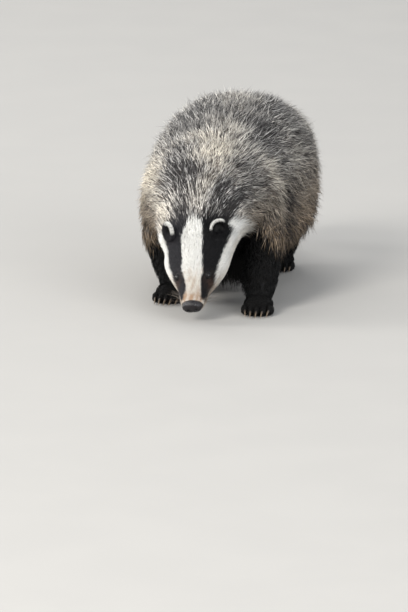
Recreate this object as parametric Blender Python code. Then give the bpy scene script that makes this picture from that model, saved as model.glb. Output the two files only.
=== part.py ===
# A life-size European badger that walks with its head down to the ground, as a still model.
# It faces -Y, its left side is +X, and it stands on the plane Z = 0. Lengths are in metres, angles in degrees.
import math

import bmesh
import bpy
import numpy as np
from mathutils import Matrix, Vector

GAP = 0.0003  # left between nodes that touch

# The head, from the front of the nose pad backwards along its own axis.
NOSE_PLACE = (0.0, -0.24, 0.0215)
HEAD_PITCH, HEAD_YAW, HEAD_ROLL = 42.0, -3.2, 8.0
HEAD_LENGTH = 0.168
MUZZLE_START = 0.005
# Distance from the nose, half width, height above the axis, depth below it, length of the coat.
HEAD_ROWS = (
    (0.000, 0.0115, 0.0085, 0.0080, 0.001),
    (0.008, 0.0178, 0.0130, 0.0150, 0.001),
    (0.026, 0.0232, 0.0185, 0.0220, 0.002),
    (0.041, 0.0288, 0.0228, 0.0265, 0.003),
    (0.063, 0.0415, 0.0300, 0.0340, 0.003),
    (0.092, 0.0545, 0.0385, 0.0420, 0.004),
    (0.120, 0.0590, 0.0445, 0.0490, 0.005),
    (0.150, 0.0640, 0.0500, 0.0560, 0.007),
    (HEAD_LENGTH, 0.0680, 0.0550, 0.0600, 0.009),
)
# Neck and torso: side, y, z, pitch, yaw, roll, half width, height above, depth below, length of the coat.
BODY_ROWS = (
    (-0.0090, -0.085, 0.160, 34.0, -2.0, 5.0, 0.080, 0.066, 0.080, 0.014),
    (-0.0110, -0.045, 0.170, 23.0, -1.0, 2.0, 0.101, 0.080, 0.098, 0.020),
    (-0.0120, 0.000, 0.174, 12.0, 0.0, 0.0, 0.119, 0.094, 0.112, 0.025),
    (-0.0120, 0.050, 0.176, 5.0, 0.0, 0.0, 0.127, 0.106, 0.117, 0.028),
    (-0.0110, 0.120, 0.180, 3.0, 0.0, 0.0, 0.136, 0.117, 0.119, 0.030),
    (-0.0085, 0.200, 0.186, 0.0, 0.0, 0.0, 0.143, 0.127, 0.121, 0.030),
    (-0.0065, 0.270, 0.189, -3.0, 0.0, 0.0, 0.144, 0.130, 0.120, 0.032),
    (-0.0060, 0.330, 0.190, -8.0, 0.0, 0.0, 0.133, 0.117, 0.104, 0.034),
    (-0.0070, 0.375, 0.188, -15.0, 0.0, 0.0, 0.109, 0.093, 0.084, 0.034),
    (-0.0085, 0.408, 0.182, -22.0, 0.0, 0.0, 0.075, 0.063, 0.060, 0.030),
    (-0.0100, 0.430, 0.176, -28.0, 0.0, 0.0, 0.036, 0.031, 0.030, 0.014),
)
SQUARENESS = 0.94  # under 1 fills out the corners of a cross-section
BELLY_SQUARENESS = 0.58  # the same under the middle of the torso
BACK_SQUARENESS = 0.84  # the same over the back, from the shoulders on
BACK_RAMP = (0.10, 0.24)  # places along the spine between which the back takes that on
PEAR = 0.07  # how much wider the torso is low down than high up
CORE_SHARE = 0.50  # of the coat's length that lies outside the solid core
CORE_RAMP = 0.05  # behind the head, over which the core sinks to that share
BELLY_THIN = 0.75  # how much of the coat's length is missing under the belly
NECK_LENGTH = 0.070  # from the back of the head to the shoulders

# The locks of the coat: flat blades that bend along the body and overlap like shingles.
LOCK_SEED = 7
LOCK_STATIONS = ((0.0, 0.55, -1.0), (0.34, 1.0, 0.60), (0.72, 0.72, 0.92))  # of the length: width, rise
LOCK_SINK = 0.008  # of a root under the core
LOCK_OVERSHOOT = 0.0010  # of a tip over the coat's own outline
LOCK_LONGER, LOCK_SWING = 0.16, 7.0  # how much the locks differ in length and in the way that they lie
LOCK_DROOP = 26.0  # how far the locks on the sides turn down from the spine's direction
# Where the first and last row grow, the steps along and round the body, length, width and thickness.
TORSO_LOCKS = (0.076, 0.520, 0.0640, 0.0560, 0.126, 0.060, 0.0080)
NECK_LOCKS = (0.012, 0.034, 0.0200, 0.0640, 0.040, 0.060, 0.0050)
TAIL_LOCKS = (0.32, 0.72, 0.160, 0.0420, 0.068, 0.042, 0.0060)
BARE_BELLY = -0.80  # sine of the angle under which no locks grow

# Facets of the solids.
HEAD_RINGS, HEAD_SIDES = 22, 28
BODY_RINGS, BODY_SIDES = 21, 26

# The face, in the head's own frame: side, distance from the nose, height above the axis.
EYE_PLACE = (0.0258, 0.0585, 0.0182)
EYE_RADIUS = 0.0056
LID_RADIUS, LID_THICKNESS = 0.0058, 0.0014
NOSE_PAD = (0.0172, 0.0085, 0.0118)  # half sizes
NOSE_PAD_CENTRE = (0.0, 0.0062, 0.0020)
NOSTRIL_PLACE = (0.0070, -0.0015, 0.0005)
NOSTRIL_SIZE = (0.0034, 0.0050, 0.0026)
MOUTH_RADIUS = 0.0013
MOUTH_FRONT, MOUTH_CORNER = 0.012, 0.066  # where the line of the mouth starts and ends, from the nose
MOUTH_LOW, MOUTH_HIGH = -62.0, -28.0  # how far round the muzzle it lies there, under the level
EAR_PLACE = (0.0440, 0.1400, 0.0430)
EAR_SIZE = (0.0150, 0.0075, 0.0165)
EAR_CUP = (0.0112, 0.0070, 0.0130)
EAR_TURNS = {-1: 46.0, 1: 24.0}  # outwards, the right ear and the left
EAR_LEAN, EAR_TILT = 14.0, 28.0  # sideways and back

# Each leg: the path of its middle from inside the body down to the ankle, with half width and half depth.
LEG_PATHS = {
    "foreleg_left": (
        (0.050, 0.040, 0.180, 0.034, 0.046),
        (0.069, 0.018, 0.142, 0.038, 0.046),
        (0.087, -0.018, 0.104, 0.036, 0.039),
        (0.094, -0.068, 0.066, 0.031, 0.031),
        (0.096, -0.108, 0.038, 0.027, 0.026),
        (0.097, -0.126, 0.016, 0.019, 0.017),
    ),
    "foreleg_right": (
        (-0.066, 0.040, 0.180, 0.034, 0.046),
        (-0.088, 0.022, 0.142, 0.038, 0.046),
        (-0.092, 0.004, 0.104, 0.035, 0.037),
        (-0.082, -0.016, 0.068, 0.031, 0.031),
        (-0.072, -0.030, 0.038, 0.027, 0.026),
        (-0.071, -0.042, 0.016, 0.019, 0.017),
    ),
    "hindleg_left": (
        (0.060, 0.250, 0.185, 0.044, 0.060),
        (0.074, 0.262, 0.140, 0.042, 0.056),
        (0.077, 0.292, 0.100, 0.035, 0.045),
        (0.072, 0.318, 0.066, 0.027, 0.031),
        (0.070, 0.316, 0.038, 0.024, 0.028),
        (0.069, 0.308, 0.015, 0.017, 0.020),
    ),
    "hindleg_right": (
        (-0.074, 0.210, 0.185, 0.044, 0.060),
        (-0.088, 0.214, 0.140, 0.042, 0.056),
        (-0.088, 0.236, 0.100, 0.035, 0.045),
        (-0.082, 0.258, 0.066, 0.027, 0.031),
        (-0.080, 0.256, 0.038, 0.024, 0.028),
        (-0.079, 0.248, 0.015, 0.017, 0.020),
    ),
}
LEG_TOP = {"fore": 0.104, "hind": 0.100}  # the level at which a leg leaves the body
LEG_SIDES, LEG_RINGS = 14, 13
ANKLE_LEVEL = 0.036  # the leg ends and the paw starts here

# Each paw: side, y of its middle, turn outwards.
PAW_PLACES = {
    "forepaw_left": (0.0975, -0.136, 4.0),
    "forepaw_right": (-0.0715, -0.052, 2.0),
    "hindpaw_left": (0.0690, 0.282, 6.0),
    "hindpaw_right": (-0.0790, 0.222, 5.0),
}
PALM_SIZE = {"fore": (0.0265, 0.0330, 0.0185), "hind": (0.0235, 0.0420, 0.0180)}
PALM_RISE = 0.0150
TOE_COUNT = 5
TOE_SIZE = (0.0066, 0.0155, 0.0095)
TOE_SPREAD = {"fore": 0.0440, "hind": 0.0380}  # from the first toe to the last
TOE_REACH = {"fore": 0.0300, "hind": 0.0350}  # of the middle toe's centre ahead of the paw's middle
TOE_BOW = 0.0110  # how much less far the outer toes reach
TOE_FAN = 7.0
CLAW_LENGTH = {"fore": 0.0220, "hind": 0.0140}
CLAW_RADIUS = 0.0027
CLAW_CLEARANCE = 0.0022  # of a claw's tip above the floor

# The tail: y, z of its middle, half width, half height, length of the coat.
TAIL_ROWS = (
    (0.395, 0.204, 0.033, 0.030, 0.010),
    (0.425, 0.197, 0.038, 0.034, 0.016),
    (0.460, 0.176, 0.041, 0.035, 0.022),
    (0.498, 0.148, 0.038, 0.031, 0.022),
    (0.530, 0.120, 0.026, 0.021, 0.016),
    (0.552, 0.098, 0.007, 0.006, 0.003),
)
TAIL_START = 0.412
TAIL_RINGS, TAIL_SIDES = 12, 16

# Colour, roughness and metallic value of each finish.
FINISHES = {
    "grey_coat": ((0.30, 0.28, 0.26, 1.0), 0.85, 0.0),
    "white_face": ((0.72, 0.70, 0.66, 1.0), 0.80, 0.0),
    "black_coat": ((0.020, 0.019, 0.018, 1.0), 0.85, 0.0),
    "nose_skin": ((0.030, 0.027, 0.028, 1.0), 0.45, 0.0),
    "eye": ((0.010, 0.007, 0.006, 1.0), 0.08, 0.0),
}


def clear_scene():
    for thing in list(bpy.data.objects):
        bpy.data.objects.remove(thing, do_unlink=True)


def finish_named(name):
    """One material for each finish, made the first time that it is asked for."""
    made = bpy.data.materials.get(name)
    if made is None:
        made = bpy.data.materials.new(name)
        made.use_nodes = True
        colour, roughness, metallic = FINISHES[name]
        shader = made.node_tree.nodes["Principled BSDF"]
        shader.inputs["Base Color"].default_value = colour
        shader.inputs["Roughness"].default_value = roughness
        shader.inputs["Metallic"].default_value = metallic
    return made


def object_of(name, points, faces, finish=None):
    """A mesh object from points and faces, with its faces pointing out."""
    mesh = bpy.data.meshes.new(name)
    mesh.from_pydata([tuple(map(float, p)) for p in points], [], faces)
    work = bmesh.new()
    work.from_mesh(mesh)
    bmesh.ops.recalc_face_normals(work, faces=work.faces)
    bmesh.ops.triangulate(work, faces=work.faces)
    work.to_mesh(mesh)
    work.free()
    thing = bpy.data.objects.new(name, mesh)
    bpy.context.scene.collection.objects.link(thing)
    if finish:
        mesh.materials.append(finish_named(finish))
    return thing


def smooth_rows(places, rows, at):
    """Each column of rows as a smooth cubic through its values, read at the places asked for."""
    places, rows = np.asarray(places, float), np.asarray(rows, float)
    slopes = np.gradient(rows, places, axis=0)
    spot = np.clip(np.searchsorted(places, at) - 1, 0, len(places) - 2)
    step = (places[spot + 1] - places[spot])[:, None]
    t = (np.asarray(at, float)[:, None] - places[spot][:, None]) / step
    before, after = rows[spot], rows[spot + 1]
    return (
        (2 * t**3 - 3 * t**2 + 1) * before
        + (t**3 - 2 * t**2 + t) * step * slopes[spot]
        + (3 * t**2 - 2 * t**3) * after
        + (t**3 - t**2) * step * slopes[spot + 1]
    )


def turned(pitch, yaw, roll):
    """Columns are the left side, the way back along the axis, and the way up from it."""
    turn = Matrix.Rotation(-math.radians(yaw), 3, "Z")
    turn = turn @ Matrix.Rotation(math.radians(pitch), 3, "X")
    return np.array(turn @ Matrix.Rotation(-math.radians(roll), 3, "Y"))


def head_point(side, back, up):
    """A point in the head's own frame, in the model's."""
    return np.array(NOSE_PLACE) + turned(HEAD_PITCH, HEAD_YAW, HEAD_ROLL) @ np.array((side, back, up))


def trunk_table():
    """Places along the spine, counted from the back of the head, and the rows there."""
    rows = []
    for back, width, above, below, coat in HEAD_ROWS:
        centre = head_point(0.0, back, 0.0)
        rows.append((*centre, HEAD_PITCH, HEAD_YAW, HEAD_ROLL, width, above, below, coat))
    rows = np.array(rows + [*BODY_ROWS])
    places = np.concatenate(([0.0], np.cumsum(np.linalg.norm(np.diff(rows[:, :3], axis=0), axis=1))))
    return places - places[len(HEAD_ROWS) - 1], rows


SPINE, TRUNK = trunk_table()


def swell(values, power):
    """Signed powers, which turn an ellipse into a slightly squarer curve."""
    return np.sign(values) * np.abs(values) ** power


def smooth_share(place, low, high):
    """0 up to the low place and 1 from the high one on."""
    ramp = min(max((place - low) / (high - low), 0.0), 1.0)
    return ramp * ramp * (3 - 2 * ramp)


def body_share(place):
    """0 at the back of the head and before it, 1 from the middle of the neck on."""
    return smooth_share(place, 0.0, CORE_RAMP)


def core_inset(place, angles):
    """How far the solid core lies inside the tips of the coat, which is short under the belly."""
    coat = smooth_rows(SPINE, TRUNK, [place])[0][-1]
    down = np.clip(-np.sin(angles), 0.0, 1.0)
    return CORE_SHARE * coat * body_share(place) * (1 - BELLY_THIN * down**2)


def trunk_ring(place, angles, inset=None, grow=0.0):
    """Points round the trunk at one place along the spine. Angle 0 is the left side and 90 the back."""
    x, y, z, pitch, yaw, roll, width, above, below, coat = smooth_rows(SPINE, TRUNK, [place])[0]
    share = body_share(place)
    shrink = (core_inset(place, angles) if inset is None else inset) - grow
    side, up = np.cos(angles), np.sin(angles)
    top = SQUARENESS + smooth_share(place, *BACK_RAMP) * (BACK_SQUARENESS - SQUARENESS)
    power = np.where(up > 0, top, SQUARENESS + share * (BELLY_SQUARENESS - SQUARENESS))
    local = np.zeros((len(angles), 3))
    local[:, 0] = (width - shrink) * swell(side, power) * (1 - share * PEAR * up)
    local[:, 2] = np.where(up > 0, above - shrink, below - shrink) * swell(up, power)
    return np.array((x, y, z)) + local @ turned(pitch, yaw, roll).T


def tube(rings, tip=None):
    """Points and faces of a closed body through rings of equal count, ended by flat caps or by a tip."""
    count = len(rings[0])
    points = [p for ring in rings for p in ring]
    faces = []
    for row in range(len(rings) - 1):
        for i in range(count):
            j = (i + 1) % count
            a, b = row * count, (row + 1) * count
            faces.append((a + i, a + j, b + j, b + i))
    start, end = len(points), len(points) + 1
    points.append(np.mean(rings[0], axis=0))
    points.append(np.mean(rings[-1], axis=0) if tip is None else tip)
    last = (len(rings) - 1) * count
    for i in range(count):
        j = (i + 1) % count
        faces.append((start, j, i))
        faces.append((end, last + i, last + j))
    return points, faces


def circle(count):
    return np.arange(count) * 2 * math.pi / count


def ball(name, centre, size, turn=None, columns=12, rows=8):
    """A closed ellipsoid with its own axes turned by a matrix."""
    turn = np.eye(3) if turn is None else turn
    rings = []
    for row in range(1, rows):
        height = -math.cos(math.pi * row / rows)
        reach = math.sin(math.pi * row / rows)
        ring = [(reach * math.cos(a), reach * math.sin(a), height) for a in circle(columns)]
        rings.append(np.array(ring) * np.array(size))
    points, faces = tube(rings, tip=np.array((0.0, 0.0, size[2])))
    points[-2] = np.array((0.0, 0.0, -size[2]))
    return object_of(name, [np.array(centre) + turn @ p for p in points], faces)


def joined(target, pieces, operation="UNION"):
    """Joins the pieces to the target, or cuts them from it, and removes them."""
    group = bpy.data.collections.new("pieces")
    for piece in pieces:
        for old in list(piece.users_collection):
            old.objects.unlink(piece)
        group.objects.link(piece)
    bpy.context.scene.collection.children.link(group)
    change = target.modifiers.new("change", "BOOLEAN")
    change.operation = operation
    change.solver = "MANIFOLD"
    change.operand_type = "COLLECTION"
    change.collection = group
    graph = bpy.context.evaluated_depsgraph_get()
    mesh = bpy.data.meshes.new_from_object(target.evaluated_get(graph))
    target.modifiers.clear()
    target.data = mesh
    for piece in pieces:
        bpy.data.objects.remove(piece, do_unlink=True)
    bpy.data.collections.remove(group)
    keep_largest(target)
    return target


def keep_largest(thing):
    """Drops every loose scrap and sealed hollow, and keeps the largest closed surface."""
    work = bmesh.new()
    work.from_mesh(thing.data)
    bmesh.ops.triangulate(work, faces=work.faces)
    work.faces.ensure_lookup_table()
    seen, groups = set(), []
    for first in work.faces:
        if first.index in seen:
            continue
        group, queue = [], [first]
        seen.add(first.index)
        while queue:
            face = queue.pop()
            group.append(face)
            for edge in face.edges:
                for near in edge.link_faces:
                    if near.index not in seen:
                        seen.add(near.index)
                        queue.append(near)
        groups.append(group)
    groups.sort(key=volume_of, reverse=True)
    loose = [face for group in groups[1:] for face in group]
    bmesh.ops.delete(work, geom=loose, context="FACES")
    work.to_mesh(thing.data)
    work.free()


def volume_of(faces):
    total = 0.0
    for face in faces:
        a, b, c = (v.co for v in face.verts)
        total += a.dot(b.cross(c)) / 6
    return total


def slab(name, low, high):
    """A box between two corners."""
    (x0, y0, z0), (x1, y1, z1) = low, high
    lower = np.array(((x0, y0, z0), (x1, y0, z0), (x1, y1, z0), (x0, y1, z0)))
    upper = lower + np.array((0.0, 0.0, z1 - z0))
    return object_of(name, *tube([lower, upper]))


def behind_spine(name, place, reach=0.6):
    """A large box whose front face lies across the spine at one place."""
    x, y, z, pitch, yaw, roll = smooth_rows(SPINE, TRUNK, [place])[0][:6]
    turn = turned(pitch, yaw, roll)
    corners = ((-reach, -reach), (reach, -reach), (reach, reach), (-reach, reach))
    rings = []
    for back in (0.0, 2 * reach):
        ring = [np.array((x, y, z)) + turn @ np.array((a, back, b)) for a, b in corners]
        rings.append(np.array(ring))
    return object_of(name, *tube(rings))


def trunk_loft(name, start, end, rings, sides, finish=None, inset=None, grow=0.0, pinch=False):
    """The trunk between two places along the spine, closed at both ends."""
    places = np.linspace(start, end, rings)
    loft = [trunk_ring(p, circle(sides), inset, grow) for p in places]
    tip = None
    if pinch:
        x, y, z, pitch = smooth_rows(SPINE, TRUNK, [end])[0][:4]
        tip = np.array((x, y, z)) + turned(pitch, 0, 0) @ np.array((0.0, 0.006, 0.0))
    return object_of(name, *tube(loft, tip), finish)


def trunk_surface(place, angle, inset):
    return trunk_ring(min(place, SPINE[-1] - 0.002), np.array([angle]), inset)[0]


def tail_surface(share, angle, inset):
    y, z, width, height, coat = tail_row(min(share, 1.0))
    side = max(width - inset, 0.003) * math.cos(angle)
    return np.array((BODY_ROWS[-1][0] + side, y, z + max(height - inset, 0.003) * math.sin(angle)))


def paces(surface, place, angle):
    """How far a point of a surface moves for a small change of its place, and of its angle."""
    spot = surface(place, angle, 0.0)
    along = np.linalg.norm(surface(place - 0.002, angle, 0.0) - spot) / 0.002
    return along, max(np.linalg.norm(surface(place, angle + 0.02, 0.0) - spot) / 0.02, 0.02)


def lock(surface, place, angle, rise, size, turn):
    """One lock that grows at a place and angle of a surface, and follows it at a turn to its lines."""
    length, width, thick = size
    rings, before = [], 0.0
    for share, wide, lift in (*LOCK_STATIONS, (1.0, 0.0, 1.0)):
        along, around = paces(surface, place, angle)
        place += length * (share - before) * math.cos(turn) / along
        angle -= length * (share - before) * math.sin(turn) / around
        before = share
        inset = rise + LOCK_SINK if lift < 0 else rise - (rise + LOCK_OVERSHOOT) * lift
        half = 0.5 * width * wide / around
        ring = [
            surface(place, angle - half, inset + 0.5 * thick),
            surface(place, angle, inset - 0.5 * thick),
            surface(place, angle + half, inset + 0.5 * thick),
        ]
        rings.append(np.array(ring))
    return object_of("lock", *tube(rings[:-1], surface(place, angle, inset)))


def rows_of_locks(surface, inset_of, plan, ring_of, draw):
    """Staggered rows of locks, each a little different, from a plan of where and how large they grow."""
    first, last, step, pitch, length, width, thick = plan
    locks = []
    for row, place in enumerate(np.arange(first, last, step)):
        ring = ring_of(place)
        count = round(np.linalg.norm(ring - np.roll(ring, 1, axis=0), axis=1).sum() / pitch)
        for i in range(count):
            angle = 2 * math.pi * (i + 0.5 * (row % 2) + draw.uniform(-0.12, 0.12)) / count
            if math.sin(angle) < BARE_BELLY:
                continue
            spot = place + step * draw.uniform(-0.15, 0.15)
            size = np.array((length, width, thick)) * (1, 1, 1 + draw.uniform(-0.1, 0.1))
            size[0] *= 1 + draw.uniform(-LOCK_LONGER, LOCK_LONGER)
            turn = math.radians(LOCK_DROOP * math.cos(angle) + draw.uniform(-LOCK_SWING, LOCK_SWING))
            locks.append(lock(surface, spot, angle, inset_of(spot, angle), size, turn))
    return locks


def trunk_locks(plan, draw):
    def inset_of(place, angle):
        return float(core_inset(place, np.array([angle]))[0])

    return rows_of_locks(trunk_surface, inset_of, plan, lambda p: trunk_ring(p, circle(40)), draw)


def tail_locks(draw):
    def inset_of(share, angle):
        return CORE_SHARE * tail_row(min(share, 1.0))[-1]

    def ring_of(share):
        return np.array([tail_surface(share, a, inset_of(share, a)) for a in circle(24)])

    return rows_of_locks(tail_surface, inset_of, TAIL_LOCKS, ring_of, draw)


def head_loft(name, finish=None, grow=0.0):
    start = MUZZLE_START - HEAD_LENGTH - grow
    return trunk_loft(name, start, 0.0 + grow, HEAD_RINGS, HEAD_SIDES, finish, 0.0, grow)


def mouth_line():
    """The groove of the mouth, a thin bent tube that lies in the surface of the muzzle."""
    steps = 7
    path = []
    for i in range(-steps, steps + 1):
        share = abs(i) / steps
        back = MOUTH_FRONT + (MOUTH_CORNER - MOUTH_FRONT) * share**1.2
        low = MOUTH_LOW + (MOUTH_HIGH - MOUTH_LOW) * share
        angle = math.radians(low if i > 0 else -180 - low)
        if i == 0:
            angle = -math.pi / 2
        path.append(trunk_ring(back - HEAD_LENGTH, np.array([angle]), 0.0)[0])
    return bent_tube("mouth_cutter", path, [MOUTH_RADIUS] * len(path), 6)


def bent_tube(name, path, radii, sides, finish=None):
    """A round tube along a path, closed at both ends."""
    path = np.asarray(path, float)
    ways = np.gradient(path, axis=0)
    ways /= np.linalg.norm(ways, axis=1)[:, None]
    rings = []
    for middle, way, radius in zip(path, ways, radii):
        across = np.cross(way, (0.0, 0.35, 1.0))
        across /= np.linalg.norm(across)
        up = np.cross(across, way)
        ring = [middle + radius * (math.cos(a) * across + math.sin(a) * up) for a in circle(sides)]
        rings.append(np.array(ring))
    return object_of(name, *tube(rings), finish)


def side_sign(name):
    return 1 if name.endswith("left") else -1


def eye_centre(sign):
    side, back, up = EYE_PLACE
    return head_point(sign * side, back, up)


def eyelid(name, sign):
    """A ring of thick skin round one eye."""
    turn = turned(HEAD_PITCH, HEAD_YAW, HEAD_ROLL)
    outward = turn @ np.array((sign * 0.62, -0.42, 0.66))
    outward /= np.linalg.norm(outward)
    across = np.cross(outward, turn[:, 1])
    across /= np.linalg.norm(across)
    along = np.cross(across, outward)
    rings = []
    for a in circle(12):
        way = math.cos(a) * along + math.sin(a) * across * 0.8
        middle = eye_centre(sign) + LID_RADIUS * way + outward * EYE_RADIUS * 0.34
        thick = [math.cos(b) * way + math.sin(b) * outward for b in circle(6)]
        rings.append(np.array([middle + LID_THICKNESS * t for t in thick]))
    count = len(rings[0])
    faces = []
    for row in range(len(rings)):
        after = (row + 1) % len(rings)
        for i in range(count):
            j = (i + 1) % count
            faces.append((row * count + i, row * count + j, after * count + j, after * count + i))
    return object_of(name, [p for ring in rings for p in ring], faces)


def make_head():
    head = head_loft("head", "white_face")
    joined(head, [eyelid("lid_left", 1), eyelid("lid_right", -1)])
    cutters = [mouth_line(), nose_pad("nose_space", GAP)]
    for sign in (1, -1):
        cutters.append(ball("eye_space", eye_centre(sign), [EYE_RADIUS + GAP] * 3, columns=12, rows=8))
    joined(head, cutters, "DIFFERENCE")


def nose_pad(name, grow=0.0, finish=None):
    """The bare pad at the end of the muzzle, wider than it is high and flattened in front."""
    turn = turned(HEAD_PITCH, HEAD_YAW, HEAD_ROLL)
    pad = ball(name, head_point(*NOSE_PAD_CENTRE), [s + grow for s in NOSE_PAD], turn, 16, 10)
    if finish:
        pad.data.materials.append(finish_named(finish))
    return pad


def make_nose():
    nose = nose_pad("nose", 0.0, "nose_skin")
    turn = turned(HEAD_PITCH, HEAD_YAW, HEAD_ROLL)
    holes = []
    for sign in (1, -1):
        side, back, up = NOSTRIL_PLACE
        holes.append(ball("nostril", head_point(sign * side, back, up), NOSTRIL_SIZE, turn, 8, 6))
    joined(nose, holes, "DIFFERENCE")


def make_eyes():
    for name in ("eye_left", "eye_right"):
        eye = ball(name, eye_centre(side_sign(name)), [EYE_RADIUS] * 3, columns=12, rows=8)
        eye.data.materials.append(finish_named("eye"))


def make_ears():
    """Two small rounded ears, each a bowl that opens forwards and outwards."""
    for name in ("ear_left", "ear_right"):
        sign = side_sign(name)
        turn = turned(HEAD_PITCH, HEAD_YAW, HEAD_ROLL)
        lean = Matrix.Rotation(sign * math.radians(EAR_TURNS[sign]), 3, "Z")
        lean = lean @ Matrix.Rotation(sign * math.radians(EAR_LEAN), 3, "Y")
        turn = turn @ np.array(lean @ Matrix.Rotation(-math.radians(EAR_TILT), 3, "X"))
        side, back, up = EAR_PLACE
        centre = head_point(sign * side, back, up)
        ear = ball(name, centre, EAR_SIZE, turn, 14, 10)
        ear.data.materials.append(finish_named("black_coat"))
        forward = turn @ np.array((0.0, -EAR_SIZE[1], 0.0015))
        cup = ball("cup", centre + forward, EAR_CUP, turn, 12, 8)
        joined(ear, [cup, head_loft("head_space", grow=GAP)], "DIFFERENCE")


def leg_kind(name):
    return "fore" if name.startswith("fore") else "hind"


def leg_loft(name, leg, grow=0.0, finish=None):
    """A whole leg from inside the body to the ankle."""
    rows = np.array(LEG_PATHS[leg])
    places = np.concatenate(([0.0], np.cumsum(np.linalg.norm(np.diff(rows[:, :3], axis=0), axis=1))))
    fine = smooth_rows(places, rows, np.linspace(0.0, places[-1], LEG_RINGS))
    ways = np.gradient(fine[:, :3], axis=0)
    rings = []
    for row, way in zip(fine, ways):
        way = way / np.linalg.norm(way)
        deep = np.cross(way, (1.0, 0.0, 0.0))
        deep /= np.linalg.norm(deep)
        wide = np.cross(deep, way)
        ring = [
            row[:3] + (row[3] + grow) * math.cos(a) * wide + (row[4] + grow) * math.sin(a) * deep
            for a in circle(LEG_SIDES)
        ]
        rings.append(np.array(ring))
    return object_of(name, *tube(rings), finish)


def floor_to(name, level):
    """Everything from under the floor up to a level."""
    return slab(name, (-1.0, -1.0, -0.5), (1.0, 1.0, level))


def make_legs():
    for leg in LEG_PATHS:
        thing = leg_loft(leg, leg, finish="black_coat")
        top = LEG_TOP[leg_kind(leg)]
        joined(thing, [floor_to("below", ANKLE_LEVEL + GAP)], "DIFFERENCE")
        joined(thing, [slab("above", (-1.0, -1.0, top), (1.0, 1.0, 1.0))], "DIFFERENCE")


def claw(name, root, way, length):
    """One claw, a cone that bends down towards the floor."""
    drop = root[2] - CLAW_CLEARANCE
    path, radii = [], []
    for share in np.linspace(0.0, 1.0, 4):
        middle = np.array(root) + np.array(way) * length * share
        middle[2] = root[2] + 0.0012 * math.sin(math.pi * share) - drop * share**1.6
        path.append(middle)
        radii.append(CLAW_RADIUS * (1 - 0.85 * share**1.3))
    return bent_tube(name, path, radii, 4)


def make_paws():
    for name, (side, y, turn_out) in PAW_PLACES.items():
        kind, sign = leg_kind(name), side_sign(name)
        turn = np.array(Matrix.Rotation(sign * math.radians(turn_out), 3, "Z"))
        middle = np.array((side, y, PALM_RISE))
        paw = ball(name, middle, PALM_SIZE[kind], turn, 14, 8)
        paw.data.materials.append(finish_named("black_coat"))
        pieces = [leg_loft("ankle", name.replace("paw", "leg"))]
        for toe in range(TOE_COUNT):
            across = 2 * toe / (TOE_COUNT - 1) - 1
            fan = np.array(Matrix.Rotation(-math.radians(TOE_FAN * across), 3, "Z"))
            reach = TOE_REACH[kind] - TOE_BOW * across**2
            spot = np.array((0.5 * TOE_SPREAD[kind] * across, -reach, TOE_SIZE[2] - 0.0012 - PALM_RISE))
            centre = middle + turn @ spot
            pieces.append(ball("toe", centre, TOE_SIZE, turn @ fan, 8, 5))
            way = turn @ fan @ np.array((0.0, -1.0, 0.0))
            root = centre + way * TOE_SIZE[1] * 0.62
            root[2] = centre[2] + 0.0008
            pieces.append(claw("claw", root, way, CLAW_LENGTH[kind]))
        joined(paw, pieces)
        joined(paw, [floor_to("ground", 0.0)], "DIFFERENCE")
        joined(paw, [slab("above", (-1.0, -1.0, ANKLE_LEVEL), (1.0, 1.0, 1.0))], "DIFFERENCE")


def lower_leg(name, leg):
    """The space of a leg below the body, a hair wider than the leg."""
    space = leg_loft(name, leg, GAP)
    top = LEG_TOP[leg_kind(leg)] + GAP
    return joined(space, [slab("above", (-1.0, -1.0, top), (1.0, 1.0, 1.0))], "DIFFERENCE")


def upper_leg(name, leg):
    """The part of a leg that belongs to the body."""
    thing = leg_loft(name, leg)
    return joined(thing, [floor_to("below", LEG_TOP[leg_kind(leg)] + GAP)], "DIFFERENCE")


def tail_row(share):
    """Middle, half sizes and coat of the tail, from 0 inside the body to 1 at its tip."""
    return smooth_rows(np.linspace(0.0, 1.0, len(TAIL_ROWS)), TAIL_ROWS, [share])[0]


def tail_loft(name, grow=0.0, finish=None):
    rings = []
    for share in np.linspace(0.0, 1.0, TAIL_RINGS):
        y, z, width, height, coat = tail_row(share)
        shrink = CORE_SHARE * coat - grow
        angles = circle(TAIL_SIDES)
        ring = np.zeros((TAIL_SIDES, 3))
        ring[:, 0] = BODY_ROWS[-1][0] + max(width - shrink, 0.003) * np.cos(angles)
        ring[:, 1] = y
        ring[:, 2] = z + max(height - shrink, 0.003) * np.sin(angles)
        rings.append(ring)
    return object_of(name, *tube(rings), finish)


def make_trunk():
    """Neck and torso as one body, parted across the spine at the shoulders."""
    end = SPINE[-1]
    draw = np.random.default_rng(LOCK_SEED)
    torso = trunk_loft("torso", GAP, end, BODY_RINGS, BODY_SIDES, "grey_coat", pinch=True)
    joined(torso, trunk_locks(NECK_LOCKS, draw) + trunk_locks(TORSO_LOCKS, draw))
    neck = torso.copy()
    neck.data = torso.data.copy()
    neck.name = "neck"
    bpy.context.scene.collection.objects.link(neck)
    joined(neck, [behind_spine("rear", NECK_LENGTH)], "DIFFERENCE")
    joined(neck, [leg_loft("space", leg, GAP) for leg in ("foreleg_left", "foreleg_right")], "DIFFERENCE")
    joined(torso, [behind_spine("rear", NECK_LENGTH + GAP)], "INTERSECT")
    joined(torso, [upper_leg("upper", leg) for leg in LEG_PATHS])
    cutters = [lower_leg("lower", leg) for leg in LEG_PATHS]
    joined(torso, cutters + [tail_loft("tail_space", GAP)], "DIFFERENCE")


def make_tail():
    tail = tail_loft("tail", finish="grey_coat")
    joined(tail, tail_locks(np.random.default_rng(LOCK_SEED + 1)))
    joined(tail, [slab("root", (-1.0, -1.0, -1.0), (1.0, TAIL_START, 1.0))], "DIFFERENCE")


def shade_all():
    for thing in bpy.context.scene.objects:
        thing.data.shade_smooth()
        thing.data.set_sharp_from_angle(angle=math.radians(50))


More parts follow.
